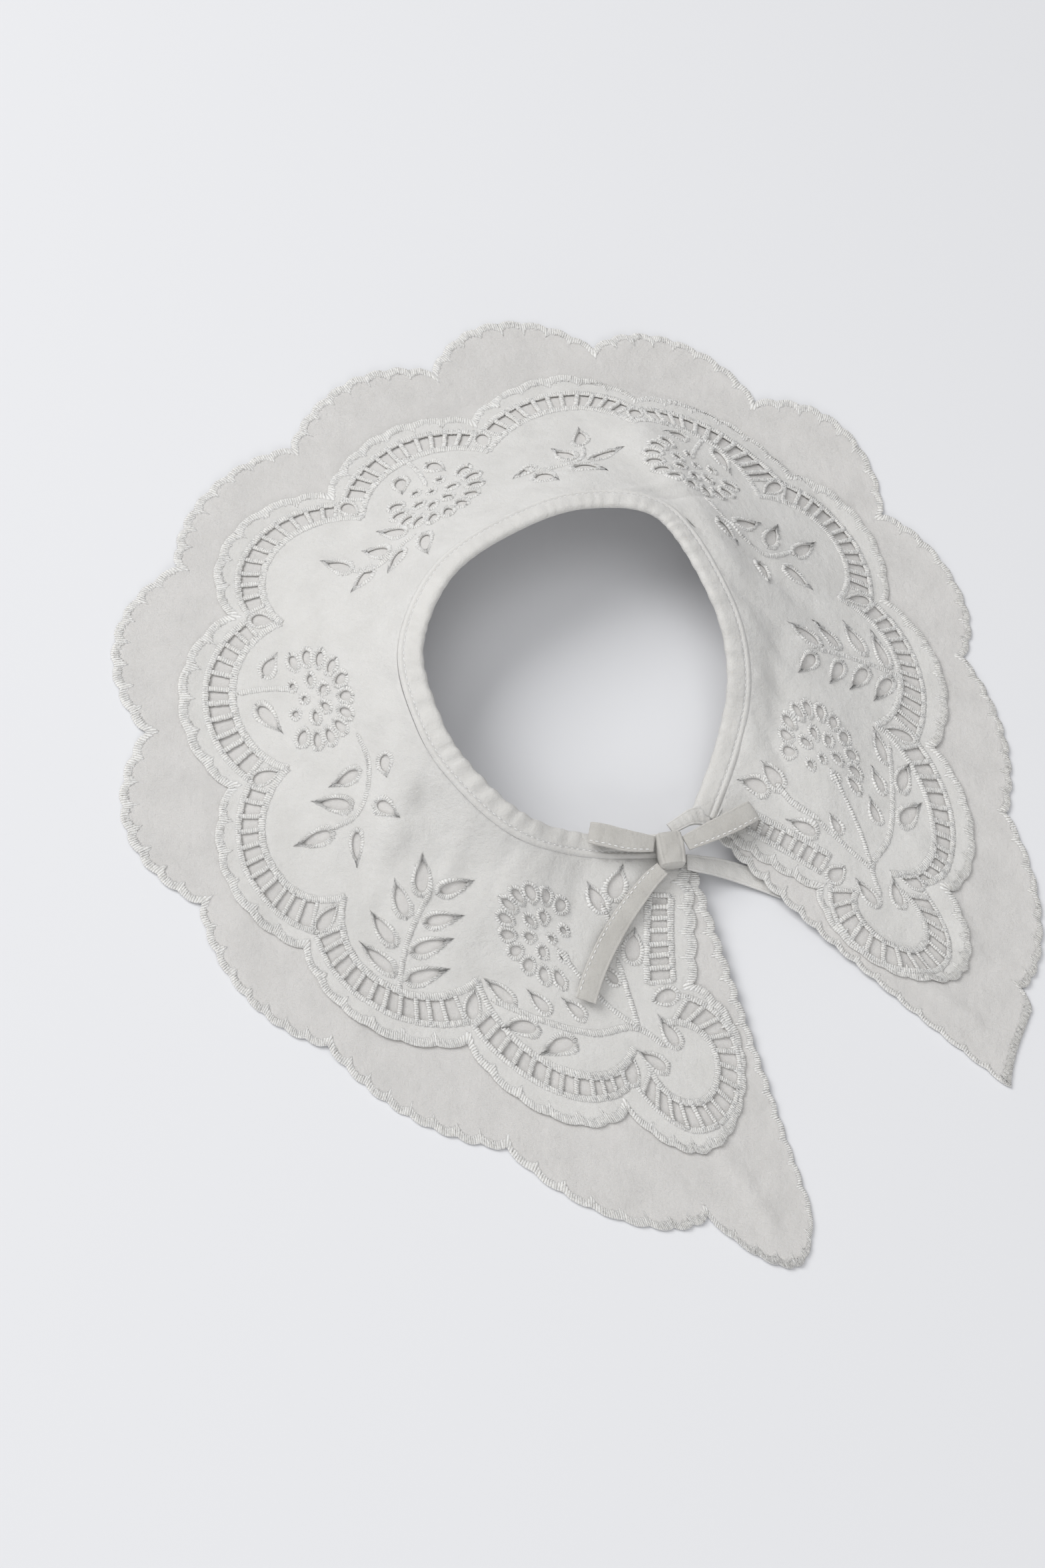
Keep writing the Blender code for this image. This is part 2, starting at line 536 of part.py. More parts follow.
def upper_outline():
    """Edge of the upper tier: the neck, the front edges, the lobes and the scalloped hem."""
    notches = [flat(row.k + 0.5, spike_depth(row.k + 0.5) + row.notch_after) for row in SCALLOPS[:-1]]
    lobe_start = flat(LOBE_HEM_START_U, LOBE_HEM_START_T)
    hem_points = [mirror([lobe_start])[0]] + notches + [lobe_start]
    hem = []
    for row, start, end in zip(SCALLOPS, hem_points[:-1], hem_points[1:]):
        notch_line = (notch_depth(row.k - 0.5) + notch_depth(row.k + 0.5)) / 2
        hem.append(scalloped(start, end, row.hem_bulge - notch_line + HEM_CHORD_SAG, UPPER_SMALL))
    front = [scalloped(lobe_start, flat(*LOBE_HEM_END), LOBE_HEM_SAG, LOBE_SMALL),
             scalloped(flat(*LOBE_HEM_END), flat(*FRONT_HEM_END), FRONT_HEM_SAG, FRONT_SMALL)]
    front = np.vstack(front)
    neck = seam_edge(-FRONT_HEM_END[0], FRONT_HEM_END[0])
    return np.vstack([mirror(front)[:-1], [mirror([lobe_start])[0]], np.vstack(hem)[1:], front, neck])


def lower_outline():
    """Edge of the lower tier: the neck, the straight front edges and the scalloped hem."""
    notch_u = [(k + 0.5) * LOWER_STEP for k in range(-7, 7)]
    notches = [flat(u, hem_depth(u)) for u in notch_u]
    hem = [scalloped(a, b, LOWER_CHORD_SAG + bulge, LOWER_SMALL)
           for a, b, bulge in zip(notches[:-1], notches[1:], LOWER_BULGES)]
    corner_left, corner_right = flat(-FRONT_U, CORNER_T), flat(FRONT_U, CORNER_T)
    left = [scalloped(corner_left, flat(*LEFT_TIP), TIP_SAG, 3),
            scalloped(flat(*LEFT_TIP), notches[0], TIP_SAG, 4)]
    right = [scalloped(notches[-1], flat(*RIGHT_TIP), FOLDED_SAG, 1),
             arc(flat(*RIGHT_TIP), corner_right, FOLDED_SAG, 4)[:-1]]
    front_t = np.arange(CORNER_T, SEAM_GAP + EDGE_SPACING, -2 * EDGE_SPACING)
    right_front = flat(np.full(len(front_t), FRONT_U), front_t)
    left_front = flat(np.full(len(front_t) - 1, -FRONT_U), front_t[:0:-1])
    neck = seam_edge(-FRONT_U, FRONT_U)
    return np.vstack([*left, *hem, *right, right_front, neck, left_front])


def inside(points, loops):
    """Whether each point is inside the first loop and outside the others, by the even-odd rule."""
    starts = np.vstack(loops)
    ends = np.vstack([np.roll(loop, -1, axis=0) for loop in loops])
    x, y = points[:, :1], points[:, 1:]
    spans = (starts[:, 1] > y) != (ends[:, 1] > y)
    rise_y = np.where(ends[:, 1] == starts[:, 1], 1e-12, ends[:, 1] - starts[:, 1])
    cross_x = starts[:, 0] + (y - starts[:, 1]) / rise_y * (ends[:, 0] - starts[:, 0])
    return ((spans & (x < cross_x)).sum(1) % 2) == 1


def inner_points(loops, spacing, keep):
    """A staggered grid of points inside the loops, kept clear of every edge."""
    low, high = loops[0].min(0), loops[0].max(0)
    rows = np.arange(low[1], high[1], spacing * math.sqrt(0.75))
    columns = np.arange(low[0], high[0], spacing)
    grid = np.array([(x + spacing / 2 * (k % 2), y) for k, y in enumerate(rows) for x in columns])
    grid = grid[inside(grid, loops)]
    grid = grid[keep(unflat(grid)[1])]
    ends = np.vstack([np.roll(loop, -1, axis=0) for loop in loops])
    return grid[segment_distance(grid, np.vstack(loops), ends).min(1) > 0.42 * spacing]


def cloth_solid(name, outline, holes, wall, spacing):
    """A cloth wall of this outline and these holes, laid on the master surface."""
    loops = [outline] + holes
    near = inner_points(loops, spacing, lambda t: t < NEAR_LIMIT)
    far = inner_points(loops, FAR_SPACING, lambda t: t >= NEAR_LIMIT + FAR_SPACING / 3)
    points = np.vstack(loops + [near, far])
    edges, first = [], 0
    for loop in loops:
        edges += [(first + i, first + (i + 1) % len(loop)) for i in range(len(loop))]
        first += len(loop)
    places, _, triangles, *_ = delaunay_2d_cdt([Vector(p) for p in points], edges, [], 0, 1e-7)
    places = np.array([tuple(p) for p in places])
    triangles = np.array([tuple(t) for t in triangles])
    triangles = triangles[inside(places[triangles].mean(1), loops)]
    u, t = unflat(places)
    under, normal = surface(u, t), surface_normal(u, t)
    count = len(places)
    directed = {(int(t[i]), int(t[(i + 1) % 3])) for t in triangles for i in range(3)}
    rim = [edge for edge in directed if edge[::-1] not in directed]
    faces = [tuple(int(i) + count for i in t) for t in triangles]
    faces += [tuple(int(i) for i in t[::-1]) for t in triangles]
    faces += [(a, b, b + count, a + count) for a, b in sorted(rim)]
    solid_points = np.vstack([under + normal * wall[0], under + normal * wall[1]])
    used = np.unique(triangles)
    index = {int(old): new for new, old in enumerate(np.concatenate([used, used + count]))}
    faces = [tuple(index[i] for i in face) for face in faces]
    return add_solid(name, solid_points[np.concatenate([used, used + count])], faces)


def tube_faces(sections, ring):
    """Faces of a closed tube of this many sections, with flat ends."""
    faces = []
    for j in range(sections - 1):
        for i in range(ring):
            k = (i + 1) % ring
            faces.append((j * ring + i, j * ring + k, (j + 1) * ring + k, (j + 1) * ring + i))
    last = (sections - 1) * ring
    faces.append(tuple(range(ring))[::-1])
    faces.append(tuple(last + i for i in range(ring)))
    return faces


def neckband():
    """The ruched band inside the neck seam, a flat tube whose thickness rises and falls at each gather."""
    count = 2 * BAND_GATHERS + 1
    u = np.linspace(*BAND_ENDS, count)
    base, lean = surface(u, 0.0), surface_normal(u, 0.0)
    along = (surface(u + 0.01, 0.0) - surface(u - 0.01, 0.0)) * (1, 1, 0)
    along /= np.linalg.norm(along, axis=1)[:, None]
    inward = np.column_stack([along[:, 1], -along[:, 0], np.zeros(count)])
    lift = BAND_RISE_BACK * base[:, 2] / SEAM_HEIGHT.max() + BAND_RISE_FRONT
    angle = np.arcsin(lift / BAND_REACH)[:, None]
    up = np.array([0.0, 0.0, 1.0])
    way = inward * np.cos(angle) + up * np.sin(angle)
    off = up * np.cos(angle) - inward * np.sin(angle)
    gather = GATHER_HEIGHT * np.where(np.arange(count) % 2, 1.0, -1.0)[:, None]
    ring = [base + lean * BAND_CLEARANCE, base + lean * BAND_WALL]
    for row in BAND_SECTION:
        inward_by, up_by = row.inward + gather * row.gather_in, row.upward + gather * row.gather_up
        ring.append(base + way * inward_by + off * up_by)
    points = np.stack(ring, 1).reshape(-1, 3)
    return add_solid("neckband", points, tube_faces(count, len(ring)))


def ribbon_solid(name, rows, looped):
    """A ribbon of even wall along its middle line; a looped one keeps one direction across throughout."""
    middle = np.array([place_from_photo(row.px_x, row.px_y, row.height) for row in rows])
    half = np.array([row.width / 2 for row in rows])[:, None]
    forward = np.gradient(middle, axis=0)
    forward /= np.linalg.norm(forward, axis=1)[:, None]
    level = forward * (1, 1, 0)
    if looped:
        reach = int(np.argmax(np.linalg.norm(middle - middle[0], axis=1)))
        level = np.tile((middle[reach] - middle[0]) * (1, 1, 0), (len(rows), 1))
    across = np.column_stack([-level[:, 1], level[:, 0], np.zeros(len(rows))])
    across /= np.linalg.norm(across, axis=1)[:, None]
    off = np.cross(forward, across)
    off /= np.linalg.norm(off, axis=1)[:, None]
    wall, crown = RIBBON_WALL / 2, RIBBON_CROWN
    ring = [middle - across * half + off * (wall - crown), middle + off * wall,
            middle + across * half + off * (wall - crown), middle + across * half - off * (wall + crown),
            middle - off * wall, middle - across * half - off * (wall + crown)]
    points = np.stack(ring, 1).reshape(-1, 3)
    return add_solid(name, points, tube_faces(len(rows), len(ring)))


def knot():
    """The knot, a soft squarish roll across the ribbons."""
    start, end = (place_from_photo(x, y, KNOT_HEIGHT) for x, y in KNOT_AXIS_PX)
    way = (end - start) / np.linalg.norm(end - start)
    across = np.array([-way[1], way[0], 0.0])
    up = np.array([0.0, 0.0, 1.0])
    points = []
    for row in KNOT_ROWS:
        for k in range(KNOT_POINTS):
            angle = 2 * math.pi * k / KNOT_POINTS
            side = math.copysign(abs(math.cos(angle)) ** KNOT_SQUARE, math.cos(angle))
            rise_share = math.copysign(abs(math.sin(angle)) ** KNOT_SQUARE, math.sin(angle))
            points.append(start + (end - start) * row.along + across * row.half_width * side
                          + up * row.half_height * rise_share)
    return add_solid("bow_knot", points, tube_faces(len(KNOT_ROWS), KNOT_POINTS))


def build():
    """Make every solid of the collar."""
    clear_scene()
    cutwork = ladder_slots() + petal_holes() + leaf_holes()
    cloth_solid("lower_collar", lower_outline(), [], LOWER_WALL, LOWER_SPACING)
    cloth_solid("upper_collar", upper_outline(), cutwork, UPPER_WALL, UPPER_SPACING)
    neckband()
    knot()
    ribbon_solid("bow_loop_left", LOOP_LEFT, True)
    ribbon_solid("bow_loop_right", LOOP_RIGHT, True)
    ribbon_solid("tail_left", TAIL_LEFT, False)
    ribbon_solid("tail_right", TAIL_RIGHT, False)
    ribbon_solid("tie_right", TIE_RIGHT, False)


build()
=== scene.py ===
"""Looks of the embroidered bow collar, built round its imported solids.

Metres, in the solids' own frame. A place on the cloth is (u, t), as on the flat pattern: u counts the
scallops of the ladder band from the centre back and t is the distance out from the neck seam. Every
shape is drawn on the flat pattern first and then laid on the collar's form.
"""
import math
from collections import namedtuple

import bmesh
import bpy
import numpy as np
from mathutils import Matrix, Vector
from mathutils.geometry import delaunay_2d_cdt
from mathutils.kdtree import KDTree


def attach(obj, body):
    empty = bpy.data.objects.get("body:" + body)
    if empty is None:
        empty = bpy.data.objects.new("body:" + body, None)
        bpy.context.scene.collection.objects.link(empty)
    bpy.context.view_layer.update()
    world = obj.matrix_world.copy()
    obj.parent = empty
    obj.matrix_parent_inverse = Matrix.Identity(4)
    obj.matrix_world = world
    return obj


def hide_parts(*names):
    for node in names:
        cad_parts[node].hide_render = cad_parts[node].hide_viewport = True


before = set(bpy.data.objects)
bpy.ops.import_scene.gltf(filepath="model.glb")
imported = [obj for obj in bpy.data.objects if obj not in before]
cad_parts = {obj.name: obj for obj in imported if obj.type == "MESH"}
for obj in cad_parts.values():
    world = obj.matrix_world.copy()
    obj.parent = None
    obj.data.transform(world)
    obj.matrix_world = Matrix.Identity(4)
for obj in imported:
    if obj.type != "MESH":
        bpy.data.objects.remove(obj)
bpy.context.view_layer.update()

RANDOM = np.random.default_rng(11)


def table(kind, *rows):
    """The rows of a table with named columns."""
    return [kind(*row) for row in rows]


# Driving sizes of the flat pattern, a ring sector
SEAM_RADIUS = 0.069
TURN_PER_U = 0.45
FRONT_U = 6.3
BACK_LADDER_DEPTH = 0.062
FRONT_LADDER_EXTRA = 0.014
LADDER_TO_HEM = 0.048
FRONT_HEM_EXTRA = 0.020
FRONT_POWER = 2.5
RISE_BEYOND_LADDER = 0.030
FOLD_FADE = 0.014
NORMAL_STEP = 0.0005

# The camera, tilted from straight down and rolled, which also turns measured pixels into places
CAMERA_TILT = math.radians(24.0)
CAMERA_ROLL = math.radians(14.0)
FOCAL_PX = 3000.0
IMAGE_MIDDLE_PX = (784.0, 1176.0)
IMAGE_HEIGHT_PX = 2352.0
METRES_PER_PX = 0.000262
LENS_DISTANCE = FOCAL_PX * METRES_PER_PX
PART_TURN = math.radians(-33.0)
ORIGIN_SHIFT = (-0.0362, 0.0081, 0.0)
SENSOR = 36.0

# Places measured in the photograph, one row for each section of the collar: the neck seam, the line of
# the ladder's spikes and the line of the lower hem's notches
COLUMNS = "u fall_power seam_px_x seam_px_y seam_height spike_px_x spike_px_y hem_px_x hem_px_y"
Station = namedtuple("Station", COLUMNS)
STATIONS = table(Station,
    (-6.3, 1.6, 1030, 1285, 0.008, 1124, 1560, 1216, 1815),
    (-5.5, 1.6, 890, 1285, 0.012, 949, 1573, 1045, 1822),
    (-4.5, 1.6, 775, 1253, 0.024, 716, 1470, 690, 1688),
    (-3.5, 1.6, 682, 1172, 0.034, 519, 1346, 405, 1492),
    (-2.5, 1.6, 630, 1088, 0.04, 437, 1156, 240, 1212), (-1.5, 1.6, 604, 975, 0.044, 427, 940, 240, 908),
    (-0.5, 1.4, 652, 860, 0.048, 546, 783, 422, 688), (0.5, 1.15, 752, 787, 0.048, 734, 685, 668, 556),
    (1.5, 1.0, 872, 746, 0.044, 948, 645, 951, 534), (2.5, 1.0, 1000, 765, 0.04, 1134, 750, 1223, 668),
    (3.5, 1.3, 1090, 895, 0.034, 1254, 902, 1402, 900),
    (4.5, 1.5, 1120, 1015, 0.024, 1310, 1090, 1496, 1160),
    (5.5, 1.6, 1103, 1130, 0.012, 1333, 1312, 1531, 1468),
    (6.3, 1.6, 1064, 1240, 0.008, 1274, 1436, 1516, 1632))

# Soft folds of the form, each a straight ridge or trough between two places
Fold = namedtuple("Fold", "u0 t0 u1 t1 half_width height")
FOLDS = table(Fold,
    (1.6, 0.058, 2.95, 0.01, 0.011, 0.0034), (1.15, 0.05, 2.3, 0.012, 0.01, -0.0022),
    (3.1, 0.03, 3.85, 0.056, 0.009, -0.0018), (3.95, 0.02, 5.0, 0.016, 0.009, -0.0022),
    (4.6, 0.044, 5.4, 0.04, 0.012, 0.002), (-1.1, 0.066, -1.75, 0.03, 0.015, 0.003),
    (-2.35, 0.014, -3.45, 0.03, 0.0085, 0.0026), (-2.7, 0.036, -3.4, 0.052, 0.0085, -0.002),
    (-3.5, 0.014, -4.25, 0.022, 0.009, -0.0024), (-4.6, 0.02, -4.3, 0.06, 0.013, 0.0018),
    (-0.25, 0.026, 0.25, 0.052, 0.013, 0.0018))

# Finer creases, laid where the photograph shows them and in like places elsewhere
CREASES = table(Fold,
    (1.95, 0.006, 2.1, 0.03, 0.003, 0.001), (2.25, 0.004, 2.35, 0.034, 0.0026, -0.0009),
    (2.5, 0.005, 2.8, 0.03, 0.0028, 0.001), (2.75, 0.004, 3.15, 0.034, 0.003, -0.001),
    (3.1, 0.005, 3.5, 0.032, 0.0032, 0.0012), (3.45, 0.006, 3.9, 0.03, 0.003, -0.001),
    (3.75, 0.005, 4.3, 0.022, 0.0032, 0.001), (4.45, 0.006, 4.75, 0.026, 0.003, 0.0008),
    (4.95, 0.004, 5.25, 0.02, 0.0034, -0.0009), (5.3, 0.004, 5.6, 0.036, 0.0034, 0.0009),
    (0.55, 0.006, 0.7, 0.022, 0.0045, 0.0006), (-0.6, 0.008, -0.85, 0.024, 0.005, 0.0006),
    (-1.95, 0.006, -2.6, 0.02, 0.005, -0.0009), (-2.05, 0.05, -2.6, 0.062, 0.006, 0.0009),
    (-2.95, 0.006, -3.25, 0.018, 0.004, 0.0009), (-3.2, 0.034, -3.95, 0.04, 0.004, 0.001),
    (-3.6, 0.03, -3.75, 0.062, 0.0045, -0.0009), (-3.95, 0.006, -4.05, 0.034, 0.0036, 0.0009),
    (-4.5, 0.004, -4.45, 0.03, 0.0034, -0.0008), (-4.95, 0.004, -4.8, 0.022, 0.0032, 0.0008),
    (-5.4, 0.004, -5.2, 0.026, 0.0034, -0.0008), (-5.8, 0.006, -5.7, 0.034, 0.0036, 0.0008),
    (-5.1, 0.09, -5.4, 0.12, 0.008, 0.0009), (-5.75, 0.1, -5.95, 0.14, 0.007, 0.0012),
    (5.2, 0.086, 5.55, 0.11, 0.007, 0.0012), (5.85, 0.09, 5.75, 0.128, 0.006, -0.0008),
    (6.1, 0.07, 6.05, 0.12, 0.006, 0.0014), (2.6, 0.092, 2.8, 0.112, 0.007, 0.001),
    (1.1, 0.094, 1.4, 0.112, 0.008, 0.0009), (-1.3, 0.092, -1.25, 0.114, 0.008, 0.001),
    (-3.05, 0.09, -3.2, 0.116, 0.008, 0.0009), (-4.0, 0.094, -3.9, 0.118, 0.007, 0.0009))

# Faint unevenness of the cloth, as (waves a metre, phase, height)
RIPPLES = ((37.0, 0.8, 0.00016), (61.0, 2.1, 0.00012), (93.0, 4.0, 0.00007))

# Ladder band and upper hem, a row for each scallop from left to right
Scallop = namedtuple("Scallop", "k inner_bulge hem_bulge notch_after")
SCALLOPS = table(Scallop,
    (-5, 0.019, 0.038, 0.0265), (-4, 0.02, 0.0385, 0.0285), (-3, 0.0195, 0.038, 0.025),
    (-2, 0.018, 0.037, 0.023), (-1, 0.019, 0.038, 0.0225), (0, 0.0145, 0.032, 0.022),
    (1, 0.0145, 0.034, 0.022), (2, 0.011, 0.031, 0.028), (3, 0.0185, 0.039, 0.0275),
    (4, 0.019, 0.04, 0.0285), (5, 0.021, 0.039, 0.0265))
LADDER_TO_NOTCH = 0.0078
LADDER_WIDTH = 0.0115
INNER_CHORD_SAG = 0.0033
OUTER_CHORD_SAG = 0.0038
HEM_CHORD_SAG = 0.0044
LADDER_SLOTS = 11
SLOT_SHARE = 0.80
SLOT_ROUNDING = 0.00062
BAR_WANDER = 0.16
SLOT_INSET = (0.10, 0.90)
BAR_INSET = (0.06, 0.92)
SCALLOP_SPANS = ((0.15, 0.85), (0.02, 0.98))
FRONT_SPANS = ((0.0, 1.0), (0.0, 1.0))
WEDGE_HALF = 0.0034
WEDGE_SPAN = (0.28, 0.90)
WEDGE_FULLNESS = 1.95
FIRST_SPIKE = 5.5
SMALL_SCALLOP_SAG = 0.0014
UPPER_SMALL = 6
LOWER_SMALL = 8
LOWER_FRONT_SMALL = 15
LOWER_FRONT_START = 0.004
SMALL_STEPS = 8
LOWER_STEP = 0.855
LOWER_CHORD_SAG = 0.0036
LOWER_BULGES = (0.0100, 0.0055, 0.0075, 0.0115, 0.0105, 0.0085, 0.0090,
                0.0130, 0.0115, 0.0135, 0.0135, 0.0065, 0.0105)

# The rounded lobe at each front tip of the upper tier, its rings as (radius, first turn, last turn in
# degrees), and the ladder up its front edge
LOBE_SPIKE = (5.67, 0.0555)
LOBE_FRONT_NOTCH = (5.93, 0.0530)
LOBE_SHARED_NOTCH = (5.40, 0.0880)
LOBE_CENTRE = (5.80, 0.0790)
LOBE_INNER = (0.0165, 176.0, -84.0)
LOBE_OUTER = (0.0250, 160.0, -68.0)
LOBE_SLOTS = 14
LOBE_HEM_START_U = 5.33
LOBE_HEM_START_T = 0.0977
LOBE_HEM_END = (6.04, 0.0512)
LOBE_HEM_SAG = 0.0415
LOBE_SMALL = 12
FRONT_HEM_END = (6.25, 0.0006)
FRONT_HEM_SAG = 0.0025
FRONT_SMALL = 5
FRONT_SLOTS = 7
FRONT_INNER = ((5.89, 0.0150), (5.72, 0.0480))
FRONT_OUTER = ((6.08, 0.0160), (5.92, 0.0485))
FRONT_CHORD_SAG = 0.0001

# Front corners of the lower tier
LEFT_TIP = (-6.02, 0.1600)
RIGHT_TIP = (5.65, 0.1410)
CORNER_T = 0.1440
TIP_SAG = 0.0060
FOLDED_SAG = 0.0004

# Flower eyelets: outer petals on part of a ring, inner petals and rounds about the same centre
Flower = namedtuple("Flower", "u t facing_deg")
FLOWERS = table(Flower, (0.0, 0.048, 180), (2.05, 0.048, 180), (-2.05, 0.048, 180), (4.95, 0.037, -90),
                (-4.95, 0.037, 90))
Eyelet = namedtuple("Eyelet", "turn_deg radius half_along half_across rim")
EYELET_TAPER = 0.16
PETALS = 11
PETAL_FAN_DEG = 224
FLOWER_EYELETS = [Eyelet(PETAL_FAN_DEG * (k / (PETALS - 1) - 0.5), 0.0162, 0.0030, 0.0020, 0.0014)
                  for k in range(PETALS)]
FLOWER_EYELETS += table(Eyelet,
    (-85, 0.0072, 0.0022, 0.0016, 0.0013), (-29, 0.0068, 0.0022, 0.0016, 0.0013),
    (29, 0.0068, 0.0022, 0.0016, 0.0013), (85, 0.0072, 0.0022, 0.0016, 0.0013),
    (180, 0.003, 0.0012, 0.0012, 0.0012), (-145, 0.0094, 0.0014, 0.0014, 0.0013),
    (145, 0.0094, 0.0014, 0.0014, 0.0013))

# Leaf and drop eyelets, root to tip with the stitching; side 0 stands for both sides
Leaf = namedtuple("Leaf", "side u0 t0 u1 t1")
LEAVES = table(Leaf,
    (0, 0.1, 0.07, 0.17, 0.06), (0, 1.88, 0.0685, 1.72, 0.0625), (0, 2.05, 0.072, 2.25, 0.063),
    (-1, 0.51, 0.0283, 0.8, 0.025), (-1, 0.3, 0.027, 0.4, 0.012), (-1, 0.61, 0.0335, 0.73, 0.047),
    (-1, 0.8, 0.035, 1.1, 0.037), (-1, 0.92, 0.044, 0.97, 0.06), (-1, 0.38, 0.0355, 0.52, 0.049),
    (1, 1.15, 0.049, 1.12, 0.062), (1, 1.12, 0.037, 0.93, 0.05), (1, 1.25, 0.035, 1.5, 0.044),
    (1, 1.12, 0.0305, 1.47, 0.024), (1, 0.8, 0.0405, 0.62, 0.036), (1, 0.8, 0.033, 1.05, 0.0195),
    (0, 4.03, 0.0806, 3.76, 0.0762), (0, 3.96, 0.0699, 3.7, 0.0627), (0, 3.94, 0.0573, 3.72, 0.0453),
    (0, 3.96, 0.0455, 3.77, 0.0303), (0, 4.05, 0.0414, 4.27, 0.0295), (0, 4.06, 0.056, 4.29, 0.0461),
    (0, 4.06, 0.0695, 4.28, 0.0572), (0, 4.09, 0.0815, 4.31, 0.0692), (0, 2.71, 0.0324, 2.74, 0.0483),
    (0, 2.98, 0.0412, 2.79, 0.0573), (0, 3.08, 0.0537, 3.0, 0.0709), (0, 3.17, 0.0434, 3.41, 0.0521),
    (0, 2.69, 0.0205, 2.95, 0.0225), (0, 3.1, 0.031, 3.38, 0.027), (0, 4.76, 0.071, 4.54, 0.0665),
    (0, 4.98, 0.068, 4.83, 0.0625), (0, 5.22, 0.0646, 5.07, 0.0598), (0, 4.9, 0.0755, 4.68, 0.0825),
    (0, 5.12, 0.0745, 4.9, 0.086), (0, 5.81, 0.0735, 5.74, 0.0605), (0, 5.69, 0.0808, 5.52, 0.0731),
    (0, 5.51, 0.0487, 5.43, 0.0416), (0, 5.65, 0.0405, 5.73, 0.0276), (0, 5.51, 0.0217, 5.4, 0.0102),
    (0, 5.6, 0.017, 5.74, 0.004))
LEAF_HOLE = (0.08, 0.84)
LEAF_EDGE = (-0.03, 1.02)
LEAF_POINTS = (0.85, 1.15)
LEAF_HALF = 0.0026
DROP_HALF_SHARE = 0.25
LEAF_RIM = 0.0015

# Corded stems, each through its places on the right side; side 0 stands for both sides
Stem = namedtuple("Stem", "side half_width places")
STEMS = table(Stem,
    (0, 0.0011, ((4.08, 0.0875), (4.02, 0.068), (4.0, 0.051), (4.0, 0.042))),
    (0, 0.001, ((2.38, 0.03), (2.73, 0.028), (3.06, 0.0387), (3.05, 0.054))),
    (0, 0.0012, ((4.6, 0.0735), (4.87, 0.0725), (5.25, 0.0695), (5.58, 0.0648), (5.72, 0.072))),
    (0, 0.0011, ((5.06, 0.04), (5.22, 0.048), (5.4, 0.057), (5.58, 0.0648))),
    (0, 0.0011, ((5.55, 0.0385), (5.57, 0.052), (5.58, 0.0648))),
    (0, 0.001, ((5.5, 0.018), (5.56, 0.028), (5.55, 0.0385))),
    (0, 0.001, ((1.97, 0.056), (1.96, 0.068), (1.98, 0.079))),
    (1, 0.001, ((0.0, 0.056), (0.02, 0.068), (0.0, 0.079))),
    (-1, 0.001, ((0.34, 0.03), (0.55, 0.031), (0.78, 0.033), (0.93, 0.043))),
    (1, 0.001, ((1.17, 0.048), (1.16, 0.035), (0.96, 0.033), (0.72, 0.04))))

# Stitched bands: half widths and the sections of their satin, from the first edge to the second and back
INNER_BAND = (0.0016, -0.0013)
OUTER_BAND = (-0.0022, 0.0002)
BAR_HALF = 0.00090
BAR_REACH = 0.0006
LOBE_ENDS = (-0.04, 1.04)
LOBE_INNER_BAND = (0.0004, -0.0023)
LOBE_OUTER_BAND = (-0.0004, 0.0018)
FRONT_INNER_BAND = (0.0016, -0.0008)
FRONT_OUTER_BAND = (-0.0015, 0.0006)
WEDGE_RIM = 0.0014
UPPER_HEM_WIDTH = 0.0030
LOWER_HEM_WIDTH = 0.0027
HEM_SMOOTHING = 14
HEM_POINT = 0.75
HEM_POINT_POWER = 7
STITCH_STEP = 0.00046
LUMP_HEIGHT = 0.7
STRAND_HEIGHT = 1.5
SectionPoint = namedtuple("SectionPoint", "share lift ridge ragged")
RIM_SECTION = table(SectionPoint,
    (-0.1, 0.00008, 0.0, 0.0), (-0.16, 0.0005, 0.00005, 0.04), (-0.02, 0.00094, 0.00014, 0.04),
    (0.22, 0.00108, 0.00022, 0.0), (0.6, 0.00104, 0.00022, 0.0), (0.9, 0.00086, 0.00014, 0.12),
    (1.1, 0.00052, 0.0, 0.26), (0.98, 0.00014, 0.0, 0.0))
CORD_SECTION = table(SectionPoint,
    (0.12, 0.00006, 0.0, 0.0), (-0.05, 0.00044, 0.0, 0.1), (0.06, 0.00088, 0.00014, 0.05),
    (0.26, 0.00108, 0.00022, 0.0), (0.5, 0.00112, 0.00024, 0.0), (0.74, 0.00108, 0.00022, 0.0),
    (0.94, 0.00088, 0.00014, 0.05), (1.05, 0.00044, 0.0, 0.1), (0.88, 0.00006, 0.0, 0.0))
HEM_SECTION = table(SectionPoint,
    (0.03, 0.00002, 0.0, 0.0), (-0.03, 0.0003, 0.00003, 0.04), (0.03, 0.0007, 0.00012, 0.05),
    (0.16, 0.00092, 0.0002, 0.0), (0.45, 0.00098, 0.00022, 0.0), (0.78, 0.00092, 0.0002, 0.04),
    (0.96, 0.0008, 0.00014, 0.1), (1.06, 0.0005, 0.0, 0.16), (0.96, 0.00012, 0.0, 0.0))

# Thin shells: how far each tier's underside lies above the form, its cloth, where its hem's wave starts
# with the way over which it grows, and the steps along its edges
SHELL = 0.0006
CLOTH_INSET = 0.0008
UPPER_LIFT = 0.0016
LOWER_LIFT = 0.0001
LOWER_LIFT_INSIDE = 0.0007
UPPER_SPACING = 0.0019
LOWER_SPACING = 0.0026
HEM_WAVE = 0.0005
UPPER_WAVE = (0.070, 0.03)
LOWER_WAVE = (0.095, 0.02)
UPPER_EDGE_STEP = 0.0012
LOWER_EDGE_STEP = 0.0014
NECK_EDGE_STEP = 0.0015
HOLE_STEP = 0.0011

